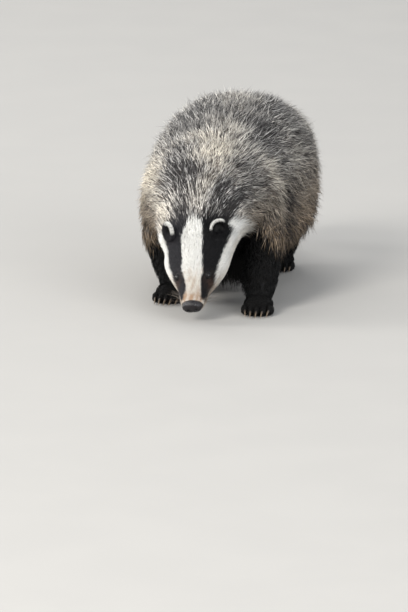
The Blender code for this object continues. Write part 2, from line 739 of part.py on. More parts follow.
def stand_at_origin():
    """Moves the badger so that the middle of its footprint is at the origin."""
    corners = np.array([v.co for thing in bpy.context.scene.objects for v in thing.data.vertices])
    middle = (corners.min(axis=0) + corners.max(axis=0)) / 2
    shift = Vector((-middle[0], -middle[1], 0.0))
    for thing in bpy.context.scene.objects:
        thing.data.transform(Matrix.Translation(shift))
    print("moved by", tuple(round(v, 5) for v in shift))


clear_scene()
make_head()
make_nose()
make_eyes()
make_ears()
make_legs()
make_paws()
make_trunk()
make_tail()
shade_all()
stand_at_origin()
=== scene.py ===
# A life-size European badger that walks with its nose close to the ground, in autumn coat.
# It faces -Y, its left side is +X and it stands on Z = 0. Lengths are in metres, angles in degrees.
import math

import bpy
import numpy as np
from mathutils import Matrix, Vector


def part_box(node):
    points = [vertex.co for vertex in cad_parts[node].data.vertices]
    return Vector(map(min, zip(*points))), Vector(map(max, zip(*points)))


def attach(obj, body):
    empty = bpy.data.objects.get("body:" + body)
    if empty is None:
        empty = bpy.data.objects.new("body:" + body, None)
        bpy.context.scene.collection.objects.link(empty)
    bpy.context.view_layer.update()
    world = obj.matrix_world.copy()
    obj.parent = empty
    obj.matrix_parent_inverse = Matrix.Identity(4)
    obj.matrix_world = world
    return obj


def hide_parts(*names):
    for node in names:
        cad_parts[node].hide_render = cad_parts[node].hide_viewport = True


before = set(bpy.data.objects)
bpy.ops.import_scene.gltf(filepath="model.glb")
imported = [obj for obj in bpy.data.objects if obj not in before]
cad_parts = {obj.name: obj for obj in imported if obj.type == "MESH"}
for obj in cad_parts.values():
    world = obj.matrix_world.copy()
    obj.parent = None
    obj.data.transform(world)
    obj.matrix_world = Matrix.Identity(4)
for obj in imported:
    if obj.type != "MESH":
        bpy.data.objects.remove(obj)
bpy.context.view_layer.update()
rng = np.random.default_rng(23)
fullTurn = 2 * math.pi

# small helpers


def smoothStep(low, high, x):
    # t*t*(3 - 2*t), with t going from 0 at low to 1 at high
    t = np.clip((x - low) / (high - low), 0.0, 1.0)
    return t * t * (3 - 2 * t)


def bell(x, middle, width):
    # exp(-((x - middle) / width)^2)
    return np.exp(-(((x - middle) / width) ** 2))


def lengthOf(vectors):
    return np.sqrt((vectors * vectors).sum(axis=-1, keepdims=True))


def unit(vectors):
    return vectors / np.maximum(lengthOf(vectors), 1e-12)


def screen(red, green, blue):
    # a colour as seen on a screen, 0 to 255, turned to linear light
    c = np.array((red, green, blue)) / 255
    return np.where(c <= 0.04045, c / 12.92, ((c + 0.055) / 1.055) ** 2.4)


def mixed(a, b, share):
    # a + (b - a) * share, for colours by row
    return a + (b - a) * np.asarray(share)[..., None]


def hashed(a, b, salt):
    # the fraction of a large sine, an even looking number from 0 to 1 for each pair of whole numbers
    value = np.sin(a * 12.9898 + b * 78.233 + salt * 37.719) * 43758.5453
    return value - np.floor(value)


def softNoise(points, scale, salt, waves=7):
    # mean of sines of the place along random directions, from about -1 to 1
    draw = np.random.default_rng(salt)
    ways = unit(draw.normal(size=(waves, 3))) * draw.uniform(0.6, 1.5, (waves, 1)) * fullTurn / scale
    phases = draw.uniform(0, fullTurn, waves)
    return np.sin(points @ ways.T + phases).sum(axis=1) / math.sqrt(waves) / 1.2


def smoothRows(places, rows, at):
    # each column as a cubic: h00*a + h10*step*slopeA + h01*b + h11*step*slopeB
    places, rows, at = np.asarray(places, float), np.asarray(rows, float), np.asarray(at, float)
    slopes = np.gradient(rows, places, axis=0)
    spot = np.clip(np.searchsorted(places, at) - 1, 0, len(places) - 2)
    step = (places[spot + 1] - places[spot])[:, None]
    t = (at[:, None] - places[spot][:, None]) / step
    a, b = rows[spot], rows[spot + 1]
    start = (2 * t**3 - 3 * t**2 + 1) * a + (t**3 - 2 * t**2 + t) * step * slopes[spot]
    return start + (3 * t**2 - 2 * t**3) * b + (t**3 - t**2) * step * slopes[spot + 1]


def turned(pitch, yaw, roll):
    # Rz(-yaw) * Rx(pitch) * Ry(-roll); the columns point left, back along the axis, and up from it
    p, w, r = np.radians(pitch), -np.radians(yaw), -np.radians(roll)
    p, w, r = np.broadcast_arrays(p, w, r)
    cp, sp, cw, sw, cr, sr = np.cos(p), np.sin(p), np.cos(w), np.sin(w), np.cos(r), np.sin(r)
    a = (cr, sp * sr, -cp * sr)
    b = (np.zeros_like(cp), cp, sp)
    c = (sr, -sp * cr, cp * cr)
    columns = [np.stack((cw * v[0] - sw * v[1], sw * v[0] + cw * v[1], v[2]), -1) for v in (a, b, c)]
    return np.stack(columns, -1)


def swell(values, power):
    # sign(v) * |v|^power
    return np.sign(values) * np.abs(values) ** power


# mesh helpers


def meshOf(name, points, faces):
    mesh = bpy.data.meshes.new(name)
    mesh.from_pydata(points, [], faces)
    mesh.update()
    thing = bpy.data.objects.new(name, mesh)
    bpy.context.scene.collection.objects.link(thing)
    mesh.shade_smooth()
    return thing


def gridFaces(rings, sides, loop=False):
    # quads between ring k and k + 1; fans to two extra points close the ends, or the last joins the first
    k, i = np.meshgrid(np.arange(rings if loop else rings - 1), np.arange(sides), indexing="ij")
    j = (i + 1) % sides
    a, b = k * sides, (k + 1) % rings * sides
    faces = np.stack((a + i, a + j, b + j, b + i), -1).reshape(-1, 4).tolist()
    if not loop:
        side = np.arange(sides)
        after = (side + 1) % sides
        last = (rings - 1) * sides
        front = np.stack((np.full(sides, rings * sides), after, side), -1)
        back = np.stack((np.full(sides, rings * sides + 1), last + side, last + after), -1)
        faces += front.tolist() + back.tolist()
    return faces


def turnOutward(thing):
    # the signed volume of a closed mesh is negative where its faces point in
    mesh = thing.data
    mesh.calc_loop_triangles()
    corners = np.empty(len(mesh.loop_triangles) * 3, np.int32)
    mesh.loop_triangles.foreach_get("vertices", corners)
    points = pointsOf(thing)
    a, b, c = points[corners.reshape(-1, 3)].transpose(1, 0, 2)
    if np.einsum("ij,ij->", a, np.cross(b, c)) < 0:
        mesh.flip_normals()
    return thing


def loft(name, grid, front=None, back=None):
    # a closed body through a grid of rings, ended by two points
    rings, sides = grid.shape[:2]
    front = grid[0].mean(axis=0) if front is None else front
    back = grid[-1].mean(axis=0) if back is None else back
    points = np.concatenate((grid.reshape(-1, 3), [front, back]))
    return turnOutward(meshOf(name, points, gridFaces(rings, sides)))


def pointsOf(thing):
    points = np.empty(len(thing.data.vertices) * 3)
    thing.data.vertices.foreach_get("co", points)
    return points.reshape(-1, 3)


def movePoints(thing, points):
    thing.data.vertices.foreach_set("co", np.asarray(points, float).ravel())
    thing.data.update()


def giveColours(mesh, name, colours):
    # colours by point, three numbers each
    layer = mesh.attributes.new(name, "FLOAT_COLOR", "POINT")
    full = np.column_stack((colours, np.ones(len(colours))))
    layer.data.foreach_set("color", full.astype(np.float32).ravel())


def giveNumbers(mesh, name, numbers):
    layer = mesh.attributes.new(name, "FLOAT", "POINT")
    layer.data.foreach_set("value", np.asarray(numbers, np.float32))


def fused(target, pieces):
    # one closed surface round the target and the pieces
    group = bpy.data.collections.new("pieces")
    bpy.context.scene.collection.children.link(group)
    for piece in pieces:
        bpy.context.scene.collection.objects.unlink(piece)
        group.objects.link(piece)
    change = target.modifiers.new("change", "BOOLEAN")
    change.operation = "UNION"
    change.solver = "MANIFOLD"
    change.operand_type = "COLLECTION"
    change.collection = group
    applied(target)
    for piece in pieces:
        bpy.data.objects.remove(piece, do_unlink=True)
    bpy.data.collections.remove(group)
    return target


def applied(thing):
    # the mesh as its modifiers leave it
    graph = bpy.context.evaluated_depsgraph_get()
    mesh = bpy.data.meshes.new_from_object(thing.evaluated_get(graph))
    thing.modifiers.clear()
    thing.data = mesh
    mesh.shade_smooth()
    return thing


# materials


class Wire:
    # A socket. Arithmetic on it adds Math nodes, and make adds any other node.
    def __init__(self, tree, link):
        self.tree = tree
        self.link = link

    @staticmethod
    def feed(tree, slot, item):
        if isinstance(item, Wire):
            tree.links.new(item.link, slot)
        else:
            slot.default_value = item

    @staticmethod
    def make(tree, kind, settings, values, output=0):
        node = tree.nodes.new("ShaderNode" + kind)
        for key, item in settings.items():
            setattr(node, key, item)
        for key, item in values.items():
            Wire.feed(tree, node.inputs[key], item)
        return Wire(tree, node.outputs[output])

    def math(self, operation, first, second):
        return Wire.make(self.tree, "Math", {"operation": operation}, {0: first, 1: second})

    def __add__(self, other):
        return self.math("ADD", self, other)

    def __sub__(self, other):
        return self.math("SUBTRACT", self, other)

    def __mul__(self, other):
        return self.math("MULTIPLY", self, other)


def ramp(wire, low, high, first=0.0, last=1.0):
    # smooth from first at low to last at high
    settings = {"interpolation_type": "SMOOTHSTEP"}
    values = {"Value": wire, "From Min": low, "From Max": high, "To Min": first, "To Max": last}
    return Wire.make(wire.tree, "MapRange", settings, values)


def colourMix(share, a, b, way="MIX"):
    tree = next(item.tree for item in (share, a, b) if isinstance(item, Wire))
    settings = {"data_type": "RGBA", "blend_type": way}
    return Wire.make(tree, "Mix", settings, {0: share, 6: a, 7: b}, 2)


def attribute(tree, name, output=2):
    return Wire.make(tree, "Attribute", {"attribute_name": name}, {}, output)


def placeOf(tree):
    return Wire.make(tree, "TexCoord", {}, {}, 3)


def noiseOf(tree, scale, detail=3.0, roughness=0.55):
    values = {"Vector": placeOf(tree), "Scale": scale, "Detail": detail, "Roughness": roughness}
    return Wire.make(tree, "TexNoise", {}, values, 0)


def bumpOf(height, distance, strength=1.0):
    return Wire.make(height.tree, "Bump", {}, {"Height": height, "Distance": distance, "Strength": strength})


def finish(name, constants, wiring):
    # a material whose shader has these constants and the links that wiring returns
    made = bpy.data.materials.new(name)
    made.use_nodes = True
    tree = made.node_tree
    shader = tree.nodes["Principled BSDF"]
    for key, item in constants.items():
        shader.inputs[key].default_value = item
    for key, item in wiring(tree).items():
        Wire.feed(tree, shader.inputs[key], item)
    return made


def rgba(colour):
    return (*map(float, colour), 1.0)


hairFinish = {
    # from root to tip: where the band begins and ends, and where the tip's own tone begins
    "bandFrom": (0.28, 0.40),
    "tipFrom": (0.52, 0.68),
    # fine lines: how many across, how far apart from hair to hair, and how they stretch along it
    "across": 5.0,
    "apart": (60.0, 23.0),
    "stretch": 1.4,
    "lineShade": (0.74, 1.18),
    "roughness": (0.48, 0.70),
}


def coatWiring(tree):
    # root, band and tip tone by the way along the hair, with fine lines along it and a shaded root
    along = attribute(tree, "along")
    chance = attribute(tree, "chance")
    moved = along - attribute(tree, "shift")
    root, band, tip = (attribute(tree, name, 0) for name in ("rootTone", "bandTone", "tipTone"))
    lower = colourMix(ramp(moved, *hairFinish["bandFrom"]), root, band)
    colour = colourMix(ramp(moved, *hairFinish["tipFrom"]), lower, tip)
    first, second = hairFinish["apart"]
    across = attribute(tree, "across") * hairFinish["across"] + chance * first
    lines = {0: across, 1: along * hairFinish["stretch"], 2: chance * second}
    where = Wire.make(tree, "CombineXYZ", {}, lines)
    grain = {"Vector": where, "Scale": 1.0, "Detail": 2.0, "Roughness": 0.6}
    streak = Wire.make(tree, "TexNoise", {}, grain)
    shade = attribute(tree, "shade") * ramp(streak, 0.25, 0.75, *hairFinish["lineShade"])
    grey = Wire.make(tree, "CombineColor", {}, {0: shade, 1: shade, 2: shade})
    return {
        "Base Color": colourMix(1.0, colour, grey, "MULTIPLY"),
        "Roughness": ramp(streak, 0.2, 0.8, *hairFinish["roughness"]),
    }


def skinWiring(tree):
    # the tone under the coat, with pores and creases
    grain = noiseOf(tree, 420.0, 4.0, 0.6)
    colour = colourMix(ramp(grain, 0.3, 0.7), attribute(tree, "deepTone", 0), attribute(tree, "tone", 0))
    return {
        "Base Color": colour,
        "Roughness": ramp(grain, 0.2, 0.8, 0.62, 0.85),
        "Normal": bumpOf(grain, 0.0012, 0.8),
    }


# the trunk: head, neck and body in one surface

headShape = {
    "nose": (0.0, -0.24, 0.0215),
    "pitch": 42.0,
    "yaw": -3.2,
    "roll": 8.0,
    "length": 0.168,
    "start": 0.005,
    # distance from the nose, half width, height above the axis, depth below it, depth of the coat
    "rows": (
        (0.000, 0.0115, 0.0085, 0.0080, 0.001),
        (0.008, 0.0178, 0.0130, 0.0150, 0.001),
        (0.026, 0.0232, 0.0185, 0.0220, 0.002),
        (0.041, 0.0288, 0.0228, 0.0265, 0.003),
        (0.063, 0.0415, 0.0300, 0.0340, 0.003),
        (0.092, 0.0545, 0.0385, 0.0420, 0.004),
        (0.120, 0.0590, 0.0445, 0.0490, 0.005),
        (0.150, 0.0640, 0.0500, 0.0560, 0.007),
        (0.168, 0.0680, 0.0550, 0.0600, 0.009),
    ),
    # distance from the nose, angle above the level, spread along and round, height of a swelling or hollow
    "relief": (
        (0.0600, 44.0, 0.0090, 0.0090, 0.0022),
        (0.0680, 62.0, 0.0120, 0.0070, 0.0016),
        (0.0480, 26.0, 0.0090, 0.0080, -0.0016),
        (0.0600, 88.0, 0.0160, 0.0080, -0.0012),
        (0.0900, 12.0, 0.0200, 0.0150, 0.0024),
        (0.0230, -6.0, 0.0090, 0.0090, 0.0018),
        (0.0300, -66.0, 0.0160, 0.0090, 0.0010),
        (0.1300, -60.0, 0.0250, 0.0200, 0.0020),
        (0.1050, 90.0, 0.0300, 0.0060, 0.0012),
    ),
}
bodyShape = {
    # side, y, z, pitch, yaw, roll, half width, height above, depth below, depth of the coat
    "rows": (
        (-0.0090, -0.085, 0.160, 34.0, -2.0, 5.0, 0.080, 0.066, 0.080, 0.014),
        (-0.0110, -0.045, 0.170, 23.0, -1.0, 2.0, 0.101, 0.080, 0.098, 0.020),
        (-0.0120, 0.000, 0.174, 12.0, 0.0, 0.0, 0.119, 0.094, 0.112, 0.025),
        (-0.0120, 0.050, 0.176, 5.0, 0.0, 0.0, 0.127, 0.106, 0.117, 0.028),
        (-0.0110, 0.120, 0.180, 3.0, 0.0, 0.0, 0.136, 0.117, 0.119, 0.030),
        (-0.0085, 0.200, 0.186, 0.0, 0.0, 0.0, 0.143, 0.127, 0.121, 0.030),
        (-0.0065, 0.270, 0.189, -3.0, 0.0, 0.0, 0.144, 0.130, 0.120, 0.032),
        (-0.0060, 0.330, 0.190, -8.0, 0.0, 0.0, 0.133, 0.117, 0.104, 0.034),
        (-0.0070, 0.375, 0.188, -15.0, 0.0, 0.0, 0.109, 0.093, 0.084, 0.034),
        (-0.0085, 0.408, 0.182, -22.0, 0.0, 0.0, 0.075, 0.063, 0.060, 0.030),
        (-0.0100, 0.430, 0.176, -28.0, 0.0, 0.0, 0.036, 0.031, 0.030, 0.014),
    ),
    "squareness": 0.94,
    "bellySquareness": 0.58,
    "backSquareness": 0.84,
    "backRamp": (0.10, 0.24),
    "pear": 0.07,
    "ramp": 0.05,
    "skinShare": 0.72,  # of the coat's depth that lies over the skin of the body
    "bellyThin": 0.75,
}
mouthShape = {"front": 0.012, "corner": 0.066, "low": -62.0, "high": -28.0, "depth": 0.0022, "width": 0.0016}


def headPoints(side, back, up):
    # the nose's place + turned head * (side, back, up)
    local = np.stack(np.broadcast_arrays(side, back, up), -1)
    return np.array(headShape["nose"]) + local @ headTurn.T


def headPlaces(points):
    # side, back and up of points in the head's own frame
    return ((points - np.array(headShape["nose"])) @ headTurn).T


def trunkTable():
    rows = []
    for back, width, above, below, coat in headShape["rows"]:
        turn = (headShape["pitch"], headShape["yaw"], headShape["roll"])
        rows.append((*headPoints(0.0, back, 0.0), *turn, width, above, below, coat))
    rows = np.array(rows + [*bodyShape["rows"]])
    places = np.concatenate(([0.0], np.cumsum(lengthOf(np.diff(rows[:, :3], axis=0))[:, 0])))
    return places - places[len(headShape["rows"]) - 1], rows


headTurn = turned(headShape["pitch"], headShape["yaw"], headShape["roll"])
spine, trunk = trunkTable()
spineEnd = spine[-1]

lowCorner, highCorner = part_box("eye_left")
eyePlace = (0.0258, 0.0585, 0.0182)
modelShift = (np.array(lowCorner) + np.array(highCorner)) / 2 - headPoints(*eyePlace)
print("model shift", modelShift.round(5))


def folded(angle):
    # the angle above the level, in degrees, the same on the left and on the right
    return np.degrees(np.arctan2(np.sin(angle), np.abs(np.cos(angle))))


def bodyShare(place):
    return smoothStep(0.0, bodyShape["ramp"], place)


def coatDepth(place):
    return smoothRows(spine, trunk, place)[:, 9]


def skinInset(place, angle):
    # coat depth * (1 - (1 - skinShare) * share) * (1 - thin * down^2 * share)
    share = bodyShare(place)
    down = np.clip(-np.sin(angle), 0.0, 1.0)
    thin = 1 - bodyShape["bellyThin"] * down**2 * share
    return coatDepth(place) * (1 - (1 - bodyShape["skinShare"]) * share) * thin


def mouthAngle(back):
    # the angle of the line of the mouth, under the level, by the distance from the nose
    share = np.clip((back - mouthShape["front"]) / (mouthShape["corner"] - mouthShape["front"]), 0, 1)
    return mouthShape["low"] + (mouthShape["high"] - mouthShape["low"]) * share ** (1 / 1.2)


def mouthCloseness(back, level, radius):
    # 1 on the line of the mouth and 0 away from it
    across = np.radians(level - mouthAngle(back)) * radius
    ends = smoothStep(mouthShape["front"] - 0.002, mouthShape["front"], back)
    ends = ends * (1 - smoothStep(mouthShape["corner"] - 0.004, mouthShape["corner"] + 0.003, back))
    line = bell(across, 0.0, mouthShape["width"]) * ends
    front = bell(back, mouthShape["front"], mouthShape["width"]) * smoothStep(-58.0, -64.0, level)
    return np.maximum(line, front)


def relief(place, angle, radius):
    # sum of height * bell(distance) * bell(angle), less the groove of the mouth
    back, level = place + headShape["length"], folded(angle)
    height = np.zeros_like(back)
    for middle, turn, spread, spreadRound, rise in headShape["relief"]:
        around = bell(np.radians(level - turn) * radius, 0.0, spreadRound)
        height += rise * bell(back, middle, spread) * around
    lip = mouthCloseness(back, level + 5.0, radius)
    return height + 0.0008 * lip - mouthShape["depth"] * mouthCloseness(back, level, radius)


def trunkPoints(place, angle, inset):
    # centre + turn * ((w - inset) * |cos|^p * (1 - pear * sin), 0, (h - inset) * |sin|^p)
    place = np.minimum(place, spineEnd - 0.002)
    row = smoothRows(spine, trunk, place)
    share = bodyShare(place)
    side, up = np.cos(angle), np.sin(angle)
    shrink = inset - relief(place, angle, (row[:, 6] + row[:, 7]) / 2)
    plain = bodyShape["squareness"]
    below = share * (bodyShape["bellySquareness"] - plain)
    above = smoothStep(*bodyShape["backRamp"], place) * (bodyShape["backSquareness"] - plain)
    power = plain + np.where(up > 0, above, below)
    local = np.zeros((len(place), 3))
    local[:, 0] = (row[:, 6] - shrink) * swell(side, power) * (1 - share * bodyShape["pear"] * up)
    local[:, 2] = (np.where(up > 0, row[:, 7], row[:, 8]) - shrink) * swell(up, power)
    return row[:, :3] + np.einsum("nij,nj->ni", turned(row[:, 3], row[:, 4], row[:, 5]), local)


def gridOf(surface, places, sides, insetOf):
    # the surface at every pair of place and angle
    p, a = np.meshgrid(places, np.arange(sides) * fullTurn / sides, indexing="ij")
    inset = insetOf(p.ravel(), a.ravel())
    return surface(p.ravel(), a.ravel(), inset).reshape(len(places), sides, 3)


# legs, paws and tail

legShape = {
    # x, y, z, half width, half depth, from inside the body down to the ankle
    "foreleg_left": (
        (0.050, 0.040, 0.180, 0.034, 0.046),
        (0.069, 0.018, 0.142, 0.038, 0.046),
        (0.087, -0.018, 0.104, 0.036, 0.039),
        (0.094, -0.068, 0.066, 0.031, 0.031),
        (0.096, -0.108, 0.038, 0.027, 0.026),
        (0.097, -0.126, 0.016, 0.019, 0.017),
    ),
    "foreleg_right": (
        (-0.066, 0.040, 0.180, 0.034, 0.046),
        (-0.088, 0.022, 0.142, 0.038, 0.046),
        (-0.092, 0.004, 0.104, 0.035, 0.037),
        (-0.082, -0.016, 0.068, 0.031, 0.031),
        (-0.072, -0.030, 0.038, 0.027, 0.026),
        (-0.071, -0.042, 0.016, 0.019, 0.017),
    ),
    "hindleg_left": (
        (0.060, 0.250, 0.185, 0.044, 0.060),
        (0.074, 0.262, 0.140, 0.042, 0.056),
        (0.077, 0.292, 0.100, 0.035, 0.045),
        (0.072, 0.318, 0.066, 0.027, 0.031),
        (0.070, 0.316, 0.038, 0.024, 0.028),
        (0.069, 0.308, 0.015, 0.017, 0.020),
    ),
    "hindleg_right": (
        (-0.074, 0.210, 0.185, 0.044, 0.060),
        (-0.088, 0.214, 0.140, 0.042, 0.056),
        (-0.088, 0.236, 0.100, 0.035, 0.045),
        (-0.082, 0.258, 0.066, 0.027, 0.031),
        (-0.080, 0.256, 0.038, 0.024, 0.028),
        (-0.079, 0.248, 0.015, 0.017, 0.020),
    ),
}
pawShape = {
    # x, y of its middle and turn outwards
    "forepaw_left": (0.0975, -0.136, 4.0),
    "forepaw_right": (-0.0715, -0.052, 2.0),
    "hindpaw_left": (0.0690, 0.282, 6.0),
    "hindpaw_right": (-0.0790, 0.222, 5.0),
}
palmShape = {"fore": (0.0265, 0.0330, 0.0185), "hind": (0.0235, 0.0420, 0.0180), "rise": 0.0150}
toeShape = {
    "count": 5,
    "size": (0.0066, 0.0155, 0.0095),
    # spread from first to last, reach of the middle one, length of the claw
    "fore": (0.0440, 0.0300, 0.0220),
    "hind": (0.0380, 0.0350, 0.0140),
    "bow": 0.0110,
    "fan": 7.0,
    "flat": 0.0012,  # how far a toe is sunk to make its flat sole
    "clawRadius": 0.0027,
    "clawClearance": 0.0022,
}
tailShape = {
    # y, z, half width, half height, depth of the coat
    "rows": (
        (0.395, 0.204, 0.033, 0.030, 0.010),
        (0.425, 0.197, 0.038, 0.034, 0.016),
        (0.460, 0.176, 0.041, 0.035, 0.022),
        (0.498, 0.148, 0.038, 0.031, 0.022),
        (0.530, 0.120, 0.026, 0.021, 0.016),
        (0.552, 0.098, 0.007, 0.006, 0.003),
    ),
    "x": -0.010,
    "least": 0.003,
    "skinShare": 0.62,
}


def legTable(leg):
    rows = np.array(legShape[leg])
    return np.concatenate(([0.0], np.cumsum(lengthOf(np.diff(rows[:, :3], axis=0))[:, 0]))), rows


def legFrame(leg, place):
    # the way down the leg, and the two ways square to it, at each place
    places, rows = legTable(leg)
    ahead, behind = (smoothRows(places, rows[:, :3], place + step) for step in (0.004, -0.004))
    way = unit(ahead - behind)
    deep = unit(np.cross(way, (1.0, 0.0, 0.0)))
    return way, deep, np.cross(deep, way)


def legSurface(leg):
    # middle + (w - inset) * cos * wide + (d - inset) * sin * deep, with deep and wide square to the path
    places, rows = legTable(leg)
    least = 0.004

    def surface(place, angle, inset):
        place = np.clip(place, 0.0, places[-1])
        row = smoothRows(places, rows, place)
        way, deep, wide = legFrame(leg, place)
        across = (np.maximum(row[:, 3] - inset, least) * np.cos(angle))[:, None] * wide
        return row[:, :3] + across + (np.maximum(row[:, 4] - inset, least) * np.sin(angle))[:, None] * deep

    return surface


def tailRow(share):
    # y, z, half width, half height and depth of the coat, at a share of the tail's length
    rows = tailShape["rows"]
    return smoothRows(np.linspace(0, 1, len(rows)), rows, np.clip(share, 0.0, 1.0)).T


def tailPoints(share, angle, inset):
    # (x + (w - inset) * cos, y, z + (h - inset) * sin)
    y, z, width, height, _ = tailRow(share)
    side = np.maximum(width - inset, tailShape["least"]) * np.cos(angle)
    up = np.maximum(height - inset, tailShape["least"]) * np.sin(angle)
    return np.stack((tailShape["x"] + side, y, z + up), -1)


def tailInset(share, angle):
    # depth of the coat over the tail's skin
    return tailShape["skinShare"] * tailRow(share)[4]


def eggSurface(centre, size, turn):
    # centre + turn * (a * sin t * cos, b * cos t, c * sin t * sin), from the back pole to the front one
    def surface(place, angle, inset):
        a, b, c = (np.maximum(s - inset, 0.001) for s in size)
        x, z = a * np.sin(place) * np.cos(angle), c * np.sin(place) * np.sin(angle)
        return np.array(centre) + np.stack((x, b * np.cos(place), z), -1) @ np.asarray(turn).T

    return surface


def kindOf(name):
    return "fore" if name.startswith("fore") else "hind"


def signOf(name):
    return 1 if name.endswith("left") else -1


def pawParts(name):
    # the palm, then each toe: its surface, centre, half sizes and turn
    x, y, turnOut = pawShape[name]
    kind = kindOf(name)
    turn = turned(0.0, -signOf(name) * turnOut, 0.0)
    middle = np.array((x, y, palmShape["rise"]))
    parts = [(middle, palmShape[kind], turn)]
    spread, reach, _ = toeShape[kind]
    height = toeShape["size"][2] - toeShape["flat"] - palmShape["rise"]
    for across in np.linspace(-1, 1, toeShape["count"]):
        lean = turn @ turned(0.0, toeShape["fan"] * across, 0.0)
        spot = np.array((0.5 * spread * across, toeShape["bow"] * across**2 - reach, height))
        parts.append((middle + turn @ spot, toeShape["size"], lean))
    return parts


earShape = {
    "place": (0.0440, 0.1400, 0.0430),
    "turn": {-1: 46.0, 1: 24.0},
    "lean": 14.0,
    "tilt": 28.0,
    "width": 0.0146,
    "height": 0.0162,
    # share of the half width, and y, from the middle of the back over the rim to the middle of the cup
    "profile": (
        (0.00, 0.0072),
        (0.50, 0.0064),
        (0.84, 0.0040),
        (1.00, 0.0002),
        (0.99, -0.0032),
        (0.90, -0.0044),
        (0.79, -0.0030),
        (0.62, 0.0004),
        (0.34, 0.0026),
        (0.00, 0.0032),
    ),
}


def earTurn(sign):
    # the head's turn * Rz(turn outwards) * Ry(lean sideways) * Rx(tilt back)
    lean = math.radians(sign * earShape["lean"])
    swing = math.radians(sign * earShape["turn"][sign])
    tilt = -math.radians(earShape["tilt"])
    c, s = math.cos(swing), math.sin(swing)
    about = np.array(((c, -s, 0), (s, c, 0), (0, 0, 1)))
    c, s = math.cos(lean), math.sin(lean)
    over = np.array(((c, 0, s), (0, 1, 0), (-s, 0, c)))
    c, s = math.cos(tilt), math.sin(tilt)
    back = np.array(((1, 0, 0), (0, c, -s), (0, s, c)))
    return headTurn @ about @ over @ back


def earSurface(sign):
    # the profile at place s, its radius carried round an oval, grown by -inset along the profile's own normal
    side, back, up = earShape["place"]
    centre = headPoints(sign * side, back, up)
    turn = earTurn(sign)
    profile = np.array(earShape["profile"])
    marks = np.linspace(0, 1, len(profile))
    stretch = earShape["height"] / earShape["width"]

    def surface(place, angle, inset):
        place = np.clip(place, 0.0, 1.0)
        radius, y = smoothRows(marks, profile, place).T
        after = smoothRows(marks, profile, np.minimum(place + 0.01, 1))
        step = after - smoothRows(marks, profile, np.maximum(place - 0.01, 0))
        step[:, 0] *= earShape["width"]
        step = unit(step)
        radius = np.maximum(radius * earShape["width"] + step[:, 1] * inset, 0.0)
        y = y - step[:, 0] * inset
        local = np.stack((radius * np.cos(angle), y, stretch * radius * np.sin(angle)), -1)
        return centre + local @ turn.T

    return surface


# the skin


def headRings():
    # fine rings on the head, wider ones on the body
    head = np.arange(headShape["start"], headShape["length"], skinShape["headRing"]) - headShape["length"]
    body = np.arange(0.0, spineEnd - 0.004, skinShape["bodyRing"])
    return np.concatenate((head, body, [spineEnd - 0.0025]))


skinShape = {
    "sides": 168,
    # spacing of the rings on the head and on the body
    "headRing": 0.0016,
    "bodyRing": 0.0045,
    "legInset": 0.0060,
    "ankleInset": 0.0034,
    "pawInset": 0.0026,
    "toeInset": 0.0013,
    "earInset": 0.0010,
    # rings and sides of each part before they are fused
    "legGrid": (60, 44),
    "palmGrid": (22, 30),
    "toeGrid": (14, 16),
    "tailGrid": (40, 36),
    "earGrid": (30, 36),
    "tailEnd": 0.97,
    "floor": 0.0003,
    # where the smoothing sets in, behind the nose and above the floor, in how many steps, and how much of it
    "softBehind": (0.150, 0.190),
    "softAbove": (0.030, 0.050),
    "softLevels": 10,
    "smooth": 10,
    "smoothFactor": 0.5,
}


def legInset(z):
    ankle, upper = skinShape["ankleInset"], skinShape["legInset"]
    return ankle + (upper - ankle) * smoothStep(0.03, 0.09, z)


def evenly(value):
    # the same inset or density everywhere
    return lambda place, angle: value


def legLoft(leg):
    places, rows = legTable(leg)

    def insetOf(place, angle):
        return legInset(smoothRows(places, rows, place)[:, 2])

    rings, sides = skinShape["legGrid"]
    return loft(leg + "Loft", gridOf(legSurface(leg), np.linspace(0, places[-1], rings), sides, insetOf))


def capped(name, surface, places, sides, inset, ends):
    # a closed body through the rings at these places, ended by the surface's own poles
    grid = gridOf(surface, places, sides, evenly(inset))
    return loft(name, grid, *surface(np.array(ends), np.zeros(2), inset))


def eggLoft(name, part, inset, rings, sides):
    places = np.linspace(0, math.pi, rings + 2)[1:-1]
    return capped(name, eggSurface(*part), places, sides, inset, (0.0, math.pi))


def soften(skin, points):
    # smooths the joins behind the face and above the paws
    soft = smoothStep(*skinShape["softBehind"], headPlaces(points)[1])
    soft = soft * smoothStep(*skinShape["softAbove"], points[:, 2])
    levels = skinShape["softLevels"]
    group = skin.vertex_groups.new(name="soft")
    for level in range(1, levels + 1):
        chosen = np.flatnonzero(np.round(soft * levels) == level)
        group.add(chosen.tolist(), level / levels, "REPLACE")
    change = skin.modifiers.new("soften", "SMOOTH")
    change.iterations = skinShape["smooth"]
    change.factor = skinShape["smoothFactor"]
    change.vertex_group = "soft"
    applied(skin)
    skin.vertex_groups.clear()


def makeSkin():
    # trunk, legs, paws, tail and ears fused, then softened where they join
    skin = loft("skin", gridOf(trunkPoints, headRings(), skinShape["sides"], skinInset))
    pieces = [legLoft(leg) for leg in legShape]
    for paw in pawShape:
        palm, *toes = pawParts(paw)
        pieces.append(eggLoft("palm", palm, skinShape["pawInset"], *skinShape["palmGrid"]))
        pieces += [eggLoft("toe", toe, skinShape["toeInset"], *skinShape["toeGrid"]) for toe in toes]
    rings, sides = skinShape["tailGrid"]
    places = np.linspace(0.0, skinShape["tailEnd"], rings)
    pieces.append(loft("tailLoft", gridOf(tailPoints, places, sides, tailInset)))
    rings, sides = skinShape["earGrid"]
    places = np.linspace(0, 1, rings)[1:-1]
    for sign in (1, -1):
        pieces.append(capped("earLoft", earSurface(sign), places, sides, skinShape["earInset"], (0.0, 1.0)))
    fused(skin, pieces)
    points = pointsOf(skin)
    points[:, 2] = np.maximum(points[:, 2], skinShape["floor"])
    movePoints(skin, points)
    soften(skin, points)
    return skin


